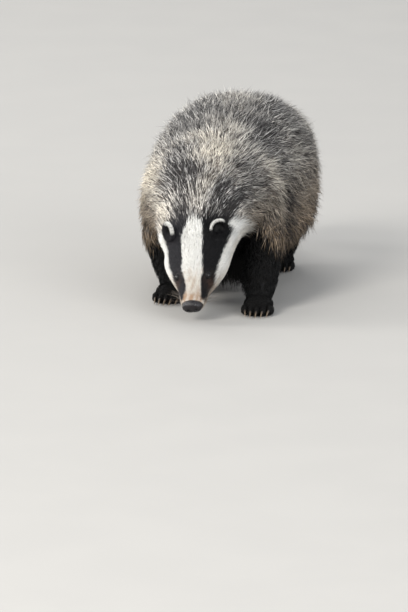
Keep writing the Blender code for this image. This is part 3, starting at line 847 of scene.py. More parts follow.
# markings, the same for skin and coat

tones = {
    "white": screen(230, 229, 224),
    "whiteRoot": screen(190, 184, 172),
    "ivory": screen(206, 194, 174),
    "tan": screen(172, 140, 112),
    "lipGrey": screen(120, 108, 96),
    "charcoalLeft": screen(15, 15, 17),
    # the right stripe's charcoal is lighter than the left's, partly its own tone and partly painted sheen
    "charcoalRightPaintedSheen": screen(42, 41, 44),
    "eyeBrown": screen(66, 50, 42),
    "black": screen(4, 4, 4),
    "brownBlack": screen(15, 12, 10),
    "silver": screen(222, 219, 214),
    "cream": screen(236, 226, 206),
    "brownTip": screen(168, 146, 121),
    "band": screen(44, 40, 40),
    "under": screen(124, 114, 104),
    "skin": screen(44, 39, 36),
    "lip": screen(22, 19, 19),
}
stripes = {
    # distance from the nose, edges of the blaze and outer edges of the dark stripes, right and left
    "rows": (
        (0.000, -0.0150, 0.0148, -0.0160, 0.0170),
        (0.017, -0.0140, 0.0148, -0.0190, 0.0205),
        (0.025, -0.0106, 0.0146, -0.0215, 0.0235),
        (0.0355, -0.0094, 0.0140, -0.0245, 0.0258),
        (0.0460, -0.0108, 0.0138, -0.0270, 0.0290),
        (0.0560, -0.0147, 0.0164, -0.0320, 0.0332),
        (0.0660, -0.0164, 0.0166, -0.0352, 0.0366),
        (0.0770, -0.0167, 0.0156, -0.0400, 0.0398),
        (0.0885, -0.0172, 0.0157, -0.0418, 0.0432),
        (0.1000, -0.0182, 0.0149, -0.0438, 0.0462),
        (0.1120, -0.0197, 0.0146, -0.0445, 0.0484),
        (0.1230, -0.0204, 0.0144, -0.0462, 0.0494),
        (0.1300, -0.0180, 0.0138, -0.0470, 0.0496),
        (0.1370, -0.0160, 0.0134, -0.0478, 0.0492),
        (0.1440, -0.0130, 0.0128, -0.0488, 0.0484),
        (0.1510, -0.0070, 0.0080, -0.0500, 0.0480),
        (0.1560, 0.0000, 0.0000, -0.0505, 0.0484),
        (0.1720, 0.0000, 0.0000, -0.0530, 0.0520),
        (0.2000, 0.0000, 0.0000, -0.0560, 0.0600),
    ),
    "edge": 0.0010,
    "cheekLow": -34.0,
    "throatFrom": (0.030, 0.055),
    # distances from the nose over which the tan bridge, the tan muzzle and the grey lips fade in
    "bridge": (0.078, 0.050),
    "muzzle": (0.034, 0.014),
    "lips": (0.080, 0.030),
    # middle and spread of the brown under the eye, along and across
    "eyeBrown": (eyePlace[1] - 0.013, 0.011, 0.0265, 0.008),
}


def stripeShare(side, back, jitter):
    # 1 on the dark stripes, between the blaze and the cheeks
    table = np.array(stripes["rows"])
    right, left, outerRight, outerLeft = (np.interp(back, table[:, 0], table[:, k]) for k in (1, 2, 3, 4))
    edge = stripes["edge"]
    moved = side + jitter * edge

    def past(line):
        return smoothStep(line - edge, line + edge, moved)

    dark = 1 - past(right) * (1 - past(left))
    dark *= past(outerRight)
    return dark * (1 - past(outerLeft))


def faceTones(points, jitter):
    # tip, band and root tones by the side and the distance from the nose; jitter moves the edges
    side, back, up = headPlaces(points)
    row = smoothRows(spine, trunk, np.clip(back - headShape["length"], spine[0], 0.1))
    level = np.degrees(np.arctan2(up / np.where(up > 0, row[:, 7], row[:, 8]), np.abs(side) / row[:, 6]))
    dark = stripeShare(side, back, jitter)
    dark *= smoothStep(-8.0, 4.0, level) * smoothStep(0.010, 0.017, back + jitter * 0.001)
    low = stripes["cheekLow"] + 14 * smoothStep(0.09, 0.16, back)
    throat = 1 - smoothStep(low - 4, low + 4, level + jitter * 3)
    throat *= smoothStep(*stripes["throatFrom"], back)
    mottle = softNoise(points, 0.011, 41) + 0.6 * softNoise(points, 0.0042, 42)
    ivory = 0.35 * smoothStep(0.07, 0.04, back) + 0.45 * smoothStep(20, -15, level)
    bridge = np.clip(0.34 * mottle + 0.10, 0, 0.6) * smoothStep(*stripes["bridge"], back)
    muzzle = smoothStep(*stripes["muzzle"], back) * smoothStep(0, 35, level)
    lips = np.clip(0.7 + 0.3 * mottle, 0, 1) * smoothStep(*stripes["lips"], back)
    tip = mixed(tones["white"], tones["ivory"], ivory)
    tip = mixed(tip, tones["tan"], bridge)
    tip = mixed(tip, tones["tan"], np.clip(0.62 + 0.3 * mottle, 0.2, 1) * muzzle)
    tip = mixed(tip, tones["lipGrey"], lips * smoothStep(32, 6, level))
    tip = mixed(tip, tones["brownBlack"], throat)
    middle, spread, out, spreadOut = stripes["eyeBrown"]
    brown = bell(back, middle, spread) * bell(np.abs(side), out, spreadOut)
    brown = np.clip(brown * (0.75 + 0.4 * mottle), 0, 1)
    # the right stripe takes the lighter charcoal, with its painted sheen
    charcoal = mixed(tones["charcoalRightPaintedSheen"], tones["charcoalLeft"], smoothStep(-0.01, 0.01, side))
    tip = mixed(tip, mixed(charcoal, tones["eyeBrown"], brown), dark)
    root = mixed(tip, tones["whiteRoot"], 0.35 * (1 - dark) * (1 - throat))
    return tip, mixed(tip, root, 0.5), root


bodyMarksAndShade = (
    # place along the spine, angle in degrees, spread along, spread round in degrees, how much lighter
    (0.112, 83.0, 0.044, 17.0, 0.85),
    (0.046, 77.0, 0.022, 9.0, 0.50),
    (0.066, 108.0, 0.026, 12.0, -0.55),
    (0.185, 56.0, 0.016, 18.0, -0.45),
    (0.131, 38.0, 0.014, 15.0, 0.70),
    (0.033, 40.0, 0.020, 12.0, -0.55),
    (0.150, 88.0, 0.060, 26.0, 0.20),
    (0.022, 84.0, 0.022, 9.0, 0.45),
    (0.110, 152.0, 0.070, 24.0, 1.15),
    (0.110, 196.0, 0.080, 24.0, 0.85),
    (0.030, 150.0, 0.040, 20.0, 0.40),
    (0.072, 121.0, 0.024, 11.0, -1.20),
    (0.026, 66.0, 0.022, 9.0, -1.10),
    (0.056, 98.0, 0.018, 9.0, -0.80),
    (0.172, 52.0, 0.020, 14.0, -0.60),
    # painted shadow: this mark and the one two rows down darken the fold behind the shoulder, on the left and
    # on the right
    (0.170, 8.0, 0.010, 34.0, -0.90),
    (0.146, 8.0, 0.012, 34.0, 0.50),
    (0.166, 172.0, 0.010, 34.0, -0.45),
    (0.004, 40.0, 0.014, 12.0, -0.90),
    (-0.004, 112.0, 0.012, 14.0, -0.90),
    (0.060, 28.0, 0.030, 18.0, -0.10),
    (0.080, 6.0, 0.050, 24.0, 0.40),
    (0.290, -6.0, 0.090, 26.0, 0.55),
    (0.250, 92.0, 0.070, 40.0, -0.48),
    (0.215, 60.0, 0.024, 16.0, -0.35),
    (0.240, 28.0, 0.040, 16.0, 0.35),
)


slowNoise = ((0.30, 0.10, 5), (0.22, 0.034, 6))  # amount, size and seed


def lightness(points, place, angle):
    # the sum of amount * bell(place) * bell(angle) over the marks, the painted shadow of the shoulder's fold
    # among them, and slow noise
    total = sum(amount * softNoise(points, size, seed) for amount, size, seed in slowNoise)
    for middle, degrees, spread, spreadRound, amount in bodyMarksAndShade:
        apart = np.mod(np.degrees(angle) - degrees + 180.0, 360.0) - 180.0
        total = total + amount * bell(place, middle, spread) * bell(apart, 0.0, spreadRound)
    return total


def tiled(name, count):
    # a named tone for each of so many points
    return np.tile(tones[name], (count, 1))


def clumpLight(key):
    # another even number from 0 to 1 for each clump
    return np.mod(key * 7.3, 1.0)


grizzle = {
    "clumpShare": 0.55,  # share of the tufts that have their clump's chance of a dark tip
    # share of dark tips, how much less of them by mark and by streak, and their least and most
    "dark": (0.25, 0.50, 0.36),
    "darkRange": (0.01, 0.88),
    "darkMix": 0.88,
    # light on the tips, how much more by mark and by streak, and its least and most
    "lit": (0.72, 0.40, 0.36),
    "litRange": (0.22, 1.3),
    # heights between which the flanks turn darker by painted shade, how much, and how much more on the left
    "lowPaintedShade": (0.135, 0.075),
    "lowPaintedShadeAmount": (0.30, 0.28),
    # light by clump, and from hair to hair
    "clumpLight": (0.76, 0.44),
    "hairLight": (0.70, 1.22),
}


def bodyTones(points, place, angle, key, streak):
    # grizzled grey, lighter or darker by its marks, the painted shadow of the shoulder's fold among them, by
    # clump and in streaks, with browner flanks and painted shade low on them, more on the left
    count = len(points)
    up = np.sin(angle)
    light = lightness(points, place, angle)
    draw = np.where(rng.random(count) < grizzle["clumpShare"], key, rng.random(count))
    share, byMark, byStreak = grizzle["dark"]
    darkTip = draw < np.clip(share - byMark * light - byStreak * streak, *grizzle["darkRange"])
    tip = mixed(tiled("silver", count), tones["cream"], np.clip(0.25 + 0.5 * light, 0, 0.8))
    brown = smoothStep(0.55, -0.35, up) * 0.90
    tip = mixed(tip, tones["brownTip"], np.clip(brown + 0.12 * (draw > 0.8), 0, 1))
    tip = mixed(tip, tones["band"] * 1.3, np.where(darkTip, grizzle["darkMix"], 0.0))
    share, byMark, byStreak = grizzle["lit"]
    lit = np.clip(share + byMark * light + byStreak * streak, *grizzle["litRange"])
    left = smoothStep(-0.02, 0.04, points[:, 0])
    low, paintedShadeLeft = grizzle["lowPaintedShadeAmount"]
    # painted shade: the tips grow darker low on the flanks, and more so on the left side
    lit = lit * (1 - smoothStep(*grizzle["lowPaintedShade"], points[:, 2]) * (low + paintedShadeLeft * left))
    least, more = grizzle["clumpLight"]
    lit = lit * (least + more * clumpLight(key))
    tip *= (lit * rng.uniform(*grizzle["hairLight"], count))[:, None]
    paler = np.clip(0.10 + 0.75 * light + 0.2 * streak, 0, 0.9)
    band = mixed(tiled("band", count), tones["under"], paler)
    root = mixed(tiled("under", count), tones["cream"], np.clip(0.4 * light, 0, 0.5))
    return tip, band, root


streaks = {"reach": 0.024, "steps": 7, "noise": (0.0058, 33, 12), "gain": 2.7}


def streaksOf(points, way):
    # noise averaged over a row of places along the hair, about -1 to 1
    steps = np.linspace(-streaks["reach"], streaks["reach"], streaks["steps"])
    total = sum(softNoise(points + step * way, *streaks["noise"]) for step in steps)
    return total / len(steps) * streaks["gain"]


def blackShare(points, place, angle, jitter):
    # 1 on the belly, the chest and the throat
    up = np.sin(angle) + 0.10 * jitter
    belly = smoothStep(-0.78, -0.93, up)
    chest = smoothStep(-0.30, -0.55, up) * smoothStep(0.15, 0.06, place)
    return np.maximum(belly, chest)


def trunkTones(points, place, angle, key, streak):
    # face, body and black parts blended by place; the grey begins further forward outside the right ear
    count = len(points)
    jitter = np.clip(rng.normal(size=count) * 0.6, -1.6, 1.6)
    face = faceTones(points, jitter)
    body = bodyTones(points, place, angle, key, streak)
    black = blackShare(points, place, angle, jitter)
    side, back, _ = headPlaces(points)
    level = folded(angle)
    edge = 0.155 + 0.036 * bell(level, -13.0, 24.0) - 0.005 * bell(level, 90.0, 16.0)
    edge = edge - 0.024 * bell(level, 16.0, 16.0) * smoothStep(-0.02, -0.03, side)
    share = smoothStep(edge - 0.004, edge + 0.010, back + 0.005 * jitter)
    lit = (1 + (0.10 * streak + 0.16 * (key - 0.5)) * smoothStep(0.06, 0.14, back))[:, None]
    grey = (mixed(tone, tiled("black", count), black) for tone in body)
    return [mixed(one * lit, two, share) for one, two in zip(face, grey)], share * (1 - black)


# tufts


def pacesOf(surface, place, angle, inset):
    # metres moved for a small step of the place, and of the angle, and the way out of the surface
    here = surface(place, angle, inset)
    step, swing = 0.002, 0.02
    alongStep = (surface(place + step, angle, inset) - surface(place - step, angle, inset)) / (2 * step)
    roundStep = (surface(place, angle + swing, inset) - surface(place, angle - swing, inset)) / (2 * swing)
    out = unit(surface(place, angle, inset - step) - here)
    normal = unit(np.cross(roundStep, alongStep))
    normal *= np.sign((normal * out).sum(axis=1, keepdims=True))
    along = np.maximum(lengthOf(alongStep)[:, 0], 0.0005)
    return along, np.maximum(lengthOf(roundStep)[:, 0], 0.003), normal


def scattered(surface, low, high, rings, sides, insetOf, densityOf):
    # roots for each cell of a grid, as many as area * density, with the fraction left to chance
    places = np.linspace(low, high, rings + 1)
    corners = gridOf(surface, places, sides, insetOf)
    across = np.roll(corners, -1, axis=1) - corners
    down = corners[1:] - corners[:-1]
    area = lengthOf(np.cross(across[:-1], down))[..., 0]
    middles = (places[1:] + places[:-1]) / 2
    p, a = np.meshgrid(middles, (np.arange(sides) + 0.5) * fullTurn / sides, indexing="ij")
    wanted = area.ravel() * densityOf(p.ravel(), a.ravel())
    count = np.floor(wanted + rng.random(len(wanted))).astype(int)
    place, angle = np.repeat(p.ravel(), count), np.repeat(a.ravel(), count)
    place = place + (rng.random(len(place)) - 0.5) * (high - low) / rings
    angle = angle + (rng.random(len(place)) - 0.5) * fullTurn / sides
    return place, angle


def clumpCentres(place, angle, along, around, spacing):
    # the nearest of the jittered centres of a lattice with this spacing
    rowSize = spacing / np.median(along)
    best = np.full(len(place), 1e9)
    nearPlace, nearAngle, key = place.copy(), angle.copy(), np.zeros(len(place))
    for rowStep in (-1, 0, 1):
        row = np.floor(place / rowSize) + rowStep
        columns = np.maximum(np.round(fullTurn * np.round(around / 0.01) * 0.01 / spacing), 3)
        for columnStep in (-1, 0, 1):
            column = np.floor(np.mod(angle, fullTurn) / fullTurn * columns) + columnStep
            wrapped = np.mod(column, columns)
            one = (row + 0.5 + 0.8 * (hashed(row, wrapped, 1) - 0.5)) * rowSize
            two = (column + 0.5 + 0.8 * (hashed(row, wrapped, 2) - 0.5)) / columns * fullTurn
            two = two + fullTurn * np.floor(angle / fullTurn)
            far = np.hypot((one - place) * along, (two - angle) * around)
            nearer = far < best
            best = np.where(nearer, far, best)
            nearPlace, nearAngle = np.where(nearer, one, nearPlace), np.where(nearer, two, nearAngle)
            key = np.where(nearer, hashed(row, wrapped, 3), key)
    return nearPlace, nearAngle, key


tuftPlan = {
    # for short fur: depth of the root in the skin, spread of the turns by hair and by clump, in degrees,
    # pull to the middle of the clump, distance of clumps, height at half length, stray and sag of the tip
    "sink": 0.0006,
    "turn": 0.0,
    "swing": 12.0,
    "clumpSwing": 8.0,
    "clump": 0.15,
    "spacing": 0.006,
    "lift": 0.7,
    "stray": 0.05,
    "sag": 0.0,
    "lengthSpread": 0.22,
    "pullSpread": (0.6, 1.15),
}


def grownTufts(surface, place, angle, changes):
    # root, middle and tip of each tuft, which runs over the surface at a turn to its lines and rises
    plan = {**tuftPlan, **changes}
    count = len(place)
    along, around, out = pacesOf(surface, place, angle, plan["rootInset"])
    length = plan["length"] * (1 + plan["lengthSpread"] * rng.normal(size=count).clip(-2, 2))
    nearPlace, nearAngle, key = clumpCentres(place, angle, along, around, plan["spacing"])
    turn = plan["turn"] + np.radians(plan["swing"]) * rng.normal(size=count)
    turn = turn + np.radians(plan["clumpSwing"]) * (key - 0.5) * 2
    pull = plan["clump"] * rng.uniform(*plan["pullSpread"], count)
    offset = (nearPlace - place) * pull, (nearAngle - angle) * pull
    rise = plan["rootInset"] - plan["tipInset"]
    stations = [surface(place, angle, plan["rootInset"] + plan["sink"])]
    spotPlace, spotAngle, before = place.copy(), angle.copy(), 0.0
    for share, lift, gather in ((0.5, plan["lift"], 0.35), (1.0, 1.0, 1.0)):
        stepLength = length * (share - before)
        pace = pacesOf(surface, spotPlace, spotAngle, plan["tipInset"])
        spotPlace = spotPlace + stepLength * np.cos(turn) / pace[0]
        spotAngle = spotAngle - stepLength * np.sin(turn) / pace[1]
        before = share
        inset = plan["rootInset"] - rise * lift
        point = surface(spotPlace + offset[0] * gather, spotAngle + offset[1] * gather, inset)
        stray = rng.normal(size=(count, 3)) * (plan["stray"] * length * share)[:, None]
        point[:, 2] -= plan["sag"] * share**2
        stations.append(point + stray)
    return np.stack(stations, 1), out, key


tuftShape = {
    # seven points: right, middle and left at the root and again at half length, and the tip
    "along": (0, 0, 0, 0.5, 0.5, 0.5, 1.0),
    "across": (-1, 0, 1, -1, 0, 1, 0),
    "rootShade": (1, 1, 1, 0.25, 0.25, 0.25, 0),
    "wide": (0.8, 1.0),  # share of the width at the root and at half length
    "widthSpread": (0.75, 1.3),
    # how far the edges lie back, and the middle forward, as shares of the thickness
    "edgeBack": 0.4,
    "ridge": 0.6,
    # the root's triangle, three quads and three triangles at the tip, by the points of their corners
    "corners": (0, 1, 2, 1, 0, 3, 4, 2, 1, 4, 5, 0, 2, 5, 3, 4, 3, 6, 5, 4, 6, 3, 5, 6),
    "starts": (0, 3, 7, 11, 15, 18, 21),
    "triangles": 10,
    # where each point lies on the tuft's patch of the unwrap, and half the patch
    "patch": ((-1, -1), (0, -1), (1, -1), (-1, 0), (0, 0), (1, 0), (0, 1)),
    "patchHalf": 0.0014,
    "floor": 0.0002,
}


def tuftObject(name, tufts, coloured, unwrapped, material):
    # two rings of three points and a tip: middle +- side * half width, middle + out * thickness
    centre, out, width = tufts["centre"], tufts["out"], tufts["width"]
    count = len(centre)
    way = unit(centre[:, 2] - centre[:, 0])
    side = unit(np.cross(way, out))
    twist = rng.normal(size=count) * tufts["twist"]
    face = np.cross(side, way)
    side, face = (
        side * np.cos(twist)[:, None] + face * np.sin(twist)[:, None],
        face * np.cos(twist)[:, None] - side * np.sin(twist)[:, None],
    )
    width = width * rng.uniform(*tuftShape["widthSpread"], count)
    thick = (tufts["thick"] * width)[:, None]
    total = len(tuftShape["along"])
    points = np.empty((count, total, 3))
    for ring, wide in enumerate(tuftShape["wide"]):
        half = (0.5 * width * wide)[:, None] * side
        edge, ridge = tuftShape["edgeBack"] * thick * face, tuftShape["ridge"] * thick * face
        points[:, 3 * ring] = centre[:, ring] + half - edge
        points[:, 3 * ring + 1] = centre[:, ring] + ridge
        points[:, 3 * ring + 2] = centre[:, ring] - half - edge
    points[:, -1] = centre[:, 2]
    points[..., 2] = np.maximum(points[..., 2], tuftShape["floor"])
    corners, starts = np.array(tuftShape["corners"]), np.array(tuftShape["starts"])
    tuft = np.arange(count)[:, None]
    mesh = bpy.data.meshes.new(name)
    mesh.vertices.add(count * total)
    mesh.vertices.foreach_set("co", (points + modelShift).ravel())
    mesh.loops.add(count * len(corners))
    mesh.loops.foreach_set("vertex_index", (corners + total * tuft).ravel())
    mesh.polygons.add(count * len(starts))
    mesh.polygons.foreach_set("loop_start", (starts + len(corners) * tuft).ravel())
    mesh.update(calc_edges=True)
    mesh.shade_smooth()
    for key, colour in zip(("tipTone", "bandTone", "rootTone"), coloured):
        giveColours(mesh, key, np.repeat(colour, total, axis=0))
    giveNumbers(mesh, "along", np.tile(tuftShape["along"], count))
    giveNumbers(mesh, "across", np.tile(tuftShape["across"], count))
    giveNumbers(mesh, "shift", np.repeat(tufts["shift"], total))
    giveNumbers(mesh, "chance", np.repeat(rng.random(count), total))
    giveNumbers(mesh, "shade", (1 - tufts["shade"][:, None] * np.array(tuftShape["rootShade"])).ravel())
    patch = np.array(tuftShape["patch"]) * tuftShape["patchHalf"]
    spots = (unwrapped[:, None, :] + patch)[:, corners]
    mesh.uv_layers.new(name="OFBake").data.foreach_set("uv", spots.astype(np.float32).ravel())
    thing = bpy.data.objects.new(name, mesh)
    bpy.context.scene.collection.objects.link(thing)
    mesh.materials.append(material)
    return thing


def tuftsOf(centre, out, width, thick=0.4, twist=0.3, shade=0.4, shift=0.1):
    # what tuftObject needs, with one number for each tuft
    count = len(centre)
    spread = shift * (rng.random(count) - 0.5)
    numbers = {"width": width, "thick": thick, "twist": twist, "shade": shade}
    tufts = {key: np.broadcast_to(np.asarray(item, float), count) for key, item in numbers.items()}
    return {"centre": centre, "out": out, "shift": spread, **tufts}


def unwrapOf(place, angle, low, high, column=0, columns=1):
    # u goes round the surface and v along it, each part in a column of its own
    u = (column + 0.04 + 0.92 * np.mod(angle, fullTurn) / fullTurn) / columns
    v = 0.03 + 0.94 * np.clip((place - low) / (high - low), 0, 1)
    return np.stack((u, v), -1)


def nearestSection(points, middles):
    # for each point the nearest of the middles, and the way to the point from it, worked out in blocks
    near = np.empty(len(points), int)
    block = 20000
    for start in range(0, len(points), block):
        gap = points[start : start + block, None, :] - middles[None]
        near[start : start + block] = (gap**2).sum(axis=2).argmin(axis=1)
    return near, points - middles[near]


def insideTube(points, middles, wide, deep, ways):
    # by the nearest middle: ((p . wide) / w)^2 + ((p . deep) / d)^2 < 1
    near, own = nearestSection(points, middles)
    along = np.abs((own * ways[near]).sum(axis=1)) < 0.010
    across = (own * wide[near]).sum(axis=1) ** 2 + (own * deep[near]).sum(axis=1) ** 2
    return along & (across < 1)


def tubeOfLeg(leg, inset):
    # middles, and the two axes of each section divided by their half sizes
    places, rows = legTable(leg)
    at = np.linspace(0, places[-1], 40)
    row = smoothRows(places, rows, at)
    way, deep, wide = legFrame(leg, at)
    return row[:, :3], wide / (row[:, 3:4] - inset), deep / (row[:, 4:5] - inset), way


tubePlaces = np.arange(-headShape["length"], spineEnd, 0.006)


def tubeOfTrunk(inset):
    row = smoothRows(spine, trunk, tubePlaces)
    turn = turned(row[:, 3], row[:, 4], row[:, 5])
    height = (row[:, 7:8] + row[:, 8:9]) / 2
    middle = row[:, :3] + turn[:, :, 2] * (row[:, 7:8] - row[:, 8:9]) / 2
    return middle, turn[:, :, 0] / (row[:, 6:7] - inset), turn[:, :, 2] / (height - inset), turn[:, :, 1]


# skin in place

skin = makeSkin()
skinPoints = pointsOf(skin)
print("skin", len(skin.data.polygons), "faces")


def nearestTrunk(points):
    # place and angle on the trunk of points near its surface
    middle, wide, deep, way = tubeOfTrunk(0.0)
    near, own = nearestSection(points, middle)
    place = tubePlaces[near] + (own * way[near]).sum(axis=1)
    return place, np.arctan2((own * deep[near]).sum(axis=1), (own * wide[near]).sum(axis=1))


def paintSkin():
    # the coat's tone on the head, and dark skin under the long coat, the legs and the ears
    count = len(skinPoints)
    place, angle = nearestTrunk(skinPoints)
    (tip, _, _), grey = trunkTones(skinPoints, place, angle, np.full(count, 0.5), np.zeros(count))
    tone = mixed(tip * 0.82, tiled("skin", count), grey)
    side, back, up = headPlaces(skinPoints)
    level = np.degrees(np.arctan2(up, np.abs(side)))
    lips = mouthCloseness(back, level, np.hypot(side, up)) * (back < 0.1)
    tone = mixed(tone, tones["lip"], np.clip(lips * 1.6, 0, 1))
    tone = mixed(tone, tones["lip"], smoothStep(0.0135, 0.0095, back))
    surface = trunkPoints(np.clip(place, spine[0], spineEnd), angle, skinInset(place, angle))
    apart = lengthOf(surface - skinPoints)[:, 0]
    tone = mixed(tone, tones["black"], smoothStep(0.003, 0.006, apart) * (back > 0.03))
    giveColours(skin.data, "tone", tone)
    giveColours(skin.data, "deepTone", tone * 0.6)


paintSkin()
movePoints(skin, skinPoints + modelShift)
skin.data.materials.clear()
skin.data.materials.append(finish("skinFinish", {"IOR": 1.4}, skinWiring))
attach(skin, "root")

coatFinish = finish("coatFinish", {"IOR": 1.45, "Specular IOR Level": 0.25}, coatWiring)
coats = []


def keepCoat(thing):
    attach(thing, "root")
    coats.append(thing)
    print("coat", thing.name, len(thing.data.polygons) // len(tuftShape["starts"]), "tufts")


# coat of the head, neck and body

trunkCoat = {
    # place along the spine, tufts per square centimetre, length, width
    "guard": (
        (-0.168, 120.0, 0.0030, 0.00048),
        (-0.140, 112.0, 0.0046, 0.00052),
        (-0.100, 90.0, 0.0066, 0.00062),
        (-0.050, 66.0, 0.0092, 0.00078),
        (-0.015, 44.0, 0.0160, 0.00105),
        (0.020, 22.0, 0.0280, 0.00170),
        (0.060, 13.5, 0.0420, 0.00190),
        (0.120, 12.0, 0.0510, 0.00200),
        (0.540, 11.0, 0.0580, 0.00210),
    ),
    "fine": (
        (-0.040, 0.0, 0.0120, 0.00060),
        (0.000, 5.0, 0.0240, 0.00065),
        (0.030, 9.0, 0.0360, 0.00075),
        (0.080, 9.0, 0.0500, 0.00085),
        (0.540, 8.0, 0.0600, 0.00085),
    ),
    "start": {"guard": -0.1625, "fine": -0.030},
    "grid": (330, 330),  # cells along and round, in which roots are scattered
    "legGap": 0.008,  # how deep in a leg a root may lie
    # share of the coat's depth at which tips end, and how much further in they may be
    "tipDepth": {"guard": (0.04, 0.46), "fine": (-0.12, 0.45)},
    # turns of the hair, in degrees: on the head, behind it, low on the sides, and slow waves
    "leastDroop": 6.0,
    "droop": 26.0,
    "lowDroop": 34.0,
    "wave": 12.0,
    "bellyDensity": 0.55,
    "eyeGap": 0.0057,
    # middle and half sizes of the bare skin of the nose, in the head's own frame
    "noseGap": ((0.0, 0.0062, 0.0020), (0.0180, 0.0095, 0.0125)),
    "mouthGap": 0.45,
}


def coatRow(layer, place):
    rows = np.array(trunkCoat[layer])
    return smoothRows(rows[:, 0], rows, np.clip(place, rows[0, 0], rows[-1, 0]))


def trunkTurn(points, place, angle):
    # down on the sides and more so low on them, straight back over the spine, with slow waves
    level = folded(angle)
    droop = trunkCoat["droop"] * smoothStep(-0.06, 0.05, place) + trunkCoat["leastDroop"]
    droop += trunkCoat["lowDroop"] * smoothStep(-4.0, -42.0, level) * smoothStep(0.0, 0.09, place)
    wave = trunkCoat["wave"] * softNoise(points, 0.09, 9) * smoothStep(-0.03, 0.06, place)
    return np.radians(droop * np.cos(angle) + wave)


def standOut(place, level):
    # how far tips stand out over the form: low on the sides, at the chest, cheeks and shoulder's edge
    skirt = 0.016 * bell(level, -36.0, 20.0) * smoothStep(0.03, 0.09, place) * smoothStep(0.46, 0.38, place)
    chest = 0.016 * smoothStep(-48.0, -66.0, level) * smoothStep(-0.02, 0.03, place)
    chest = chest * smoothStep(0.19, 0.13, place)
    cheek = 0.010 * bell(place, 0.0, 0.030) * bell(level, 2.0, 26.0)
    shoulder = 0.009 * bell(place, 0.118, 0.016) - 0.007 * bell(place, 0.160, 0.016)
    shoulder = shoulder * bell(level, 12.0, 36.0)
    return skirt + chest + cheek + shoulder


def earBase(points):
    # 1 on the head's fur in front of each ear and beside it
    side, back, up = headPlaces(points)
    front = bell(np.abs(side), 0.0490, 0.0130) * bell(back, 0.1290, 0.0120)
    beside = bell(np.abs(side), 0.0580, 0.0080) * bell(back, 0.1420, 0.0140)
    return np.maximum(front, beside) * (up > 0.01)


def furred(place, angle, points):
    # whether a root of the trunk's coat is clear of the legs, the eyes, the nose and the line of the mouth
    keep = np.ones(len(points), bool)
    for leg in legShape:
        keep &= ~insideTube(points, *tubeOfLeg(leg, trunkCoat["legGap"]))
    local = headPlaces(points).T
    for sign in (1, -1):
        eye = np.array((sign * eyePlace[0], *eyePlace[1:]))
        keep &= lengthOf(local - eye)[:, 0] > trunkCoat["eyeGap"]
    middle, half = (np.array(v) for v in trunkCoat["noseGap"])
    keep &= (((local - middle) / half) ** 2).sum(axis=1) > 1
    row = smoothRows(spine, trunk, place)
    radius = (row[:, 6] + row[:, 7]) / 2
    return keep & (mouthCloseness(local[:, 1], folded(angle), radius) < trunkCoat["mouthGap"])


def trunkLayer(layer):
    # the tufts of one layer of the coat, all over the trunk
    def densityOf(place, angle):
        under = smoothStep(-0.6, -0.85, np.sin(angle)) * smoothStep(0.02, 0.10, place)
        thinned = 1 - (1 - trunkCoat["bellyDensity"]) * under
        return np.maximum(coatRow(layer, place)[:, 1], 0) * 1e4 * thinned

    fine = layer == "fine"
    low, high = trunkCoat["start"][layer], spineEnd - 0.006
    place, angle = scattered(trunkPoints, low, high, *trunkCoat["grid"], skinInset, densityOf)
    points = trunkPoints(place, angle, skinInset(place, angle))
    keep = furred(place, angle, points)
    place, angle, points = place[keep], angle[keep], points[keep]
    count = len(place)
    level, inset, coat = folded(angle), skinInset(place, angle), coatDepth(place)
    body = bodyShare(place)
    detail = coatRow(layer, place)
    loose = rng.random(count)
    depth, spread = trunkCoat["tipDepth"][layer]
    cheek = bell(place, -0.005, 0.030) * bell(level, 2.0, 28.0)
    ear = earBase(points)
    chest = smoothStep(-46.0, -62.0, level) * smoothStep(-0.01, 0.02, place) * smoothStep(0.17, 0.12, place)
    outward = standOut(place, level) * (1 - 0.6 * loose)
    plan = {
        "rootInset": inset,
        "tipInset": coat * (depth + spread * loose**1.6) - outward - 0.010 * ear,
        "sink": 0.0012,
        "length": detail[:, 2] * (1 + 0.5 * cheek) + 0.009 * ear,
        "turn": trunkTurn(points, place, angle),
        "swing": 11.0 if fine else 6.0,
        "clumpSwing": 5.0 + 6.0 * body,
        "clump": (0.15 if fine else 0.10 + 0.55 * body),
        "spacing": 0.0145,
        "lift": 0.66,
        "stray": (0.055 if fine else 0.03) + 0.015 * body,
        "sag": 0.010 * smoothStep(0.0, -30.0, level) * body + 0.034 * chest,
    }
    centre, out, key = grownTufts(trunkPoints, place, angle, plan)
    streak = streaksOf(points, unit(centre[:, 2] - centre[:, 0]))
    coloured, _ = trunkTones(points, place, angle, key, streak)
    thick, twist, shade = 0.24 + 0.14 * body, 0.12 + 0.25 * body, 0.12 + 0.42 * body
    tufts = tuftsOf(centre, out, detail[:, 3], thick, twist, shade, 0.0)
    tufts["shift"] = 0.20 * (rng.random(count) - 0.5) + 0.14 * (key - 0.5) * body - 0.05
    return place, angle, tufts, coloured


def growTrunk():
    layers = [trunkLayer(layer) for layer in ("guard", "fine")]
    place, angle = (np.concatenate([layer[k] for layer in layers]) for k in (0, 1))
    tufts = {key: np.concatenate([layer[2][key] for layer in layers]) for key in layers[0][2]}
    coloured = [np.concatenate([layer[3][k] for layer in layers]) for k in range(3)]
    left, right = np.cos(angle) > 0, np.cos(angle) <= 0
    regions = (
        ("faceCoatLeft", -1.0, 0.0, left, "face"),
        ("faceCoatRight", -1.0, 0.0, right, "face"),
        ("neckCoat", 0.0, 0.085, left | right, "grey_coat"),
        ("shoulderCoat", 0.085, 0.190, left | right, "grey_coat"),
        ("backCoatLeft", 0.190, 0.39, left, "grey_coat"),
        ("backCoatRight", 0.190, 0.39, right, "grey_coat"),
        ("rumpCoat", 0.39, 1.0, left | right, "grey_coat"),
    )
    for name, low, high, half, slotName in regions:
        chosen = (place >= low) & (place < high) & half
        spots = unwrapOf(place[chosen], angle[chosen], place[chosen].min(), place[chosen].max())
        part = {key: item[chosen] for key, item in tufts.items()}
        keepCoat(tuftObject(name, part, [c[chosen] for c in coloured], spots, coatFinish))


growTrunk()

# coat of the legs and paws

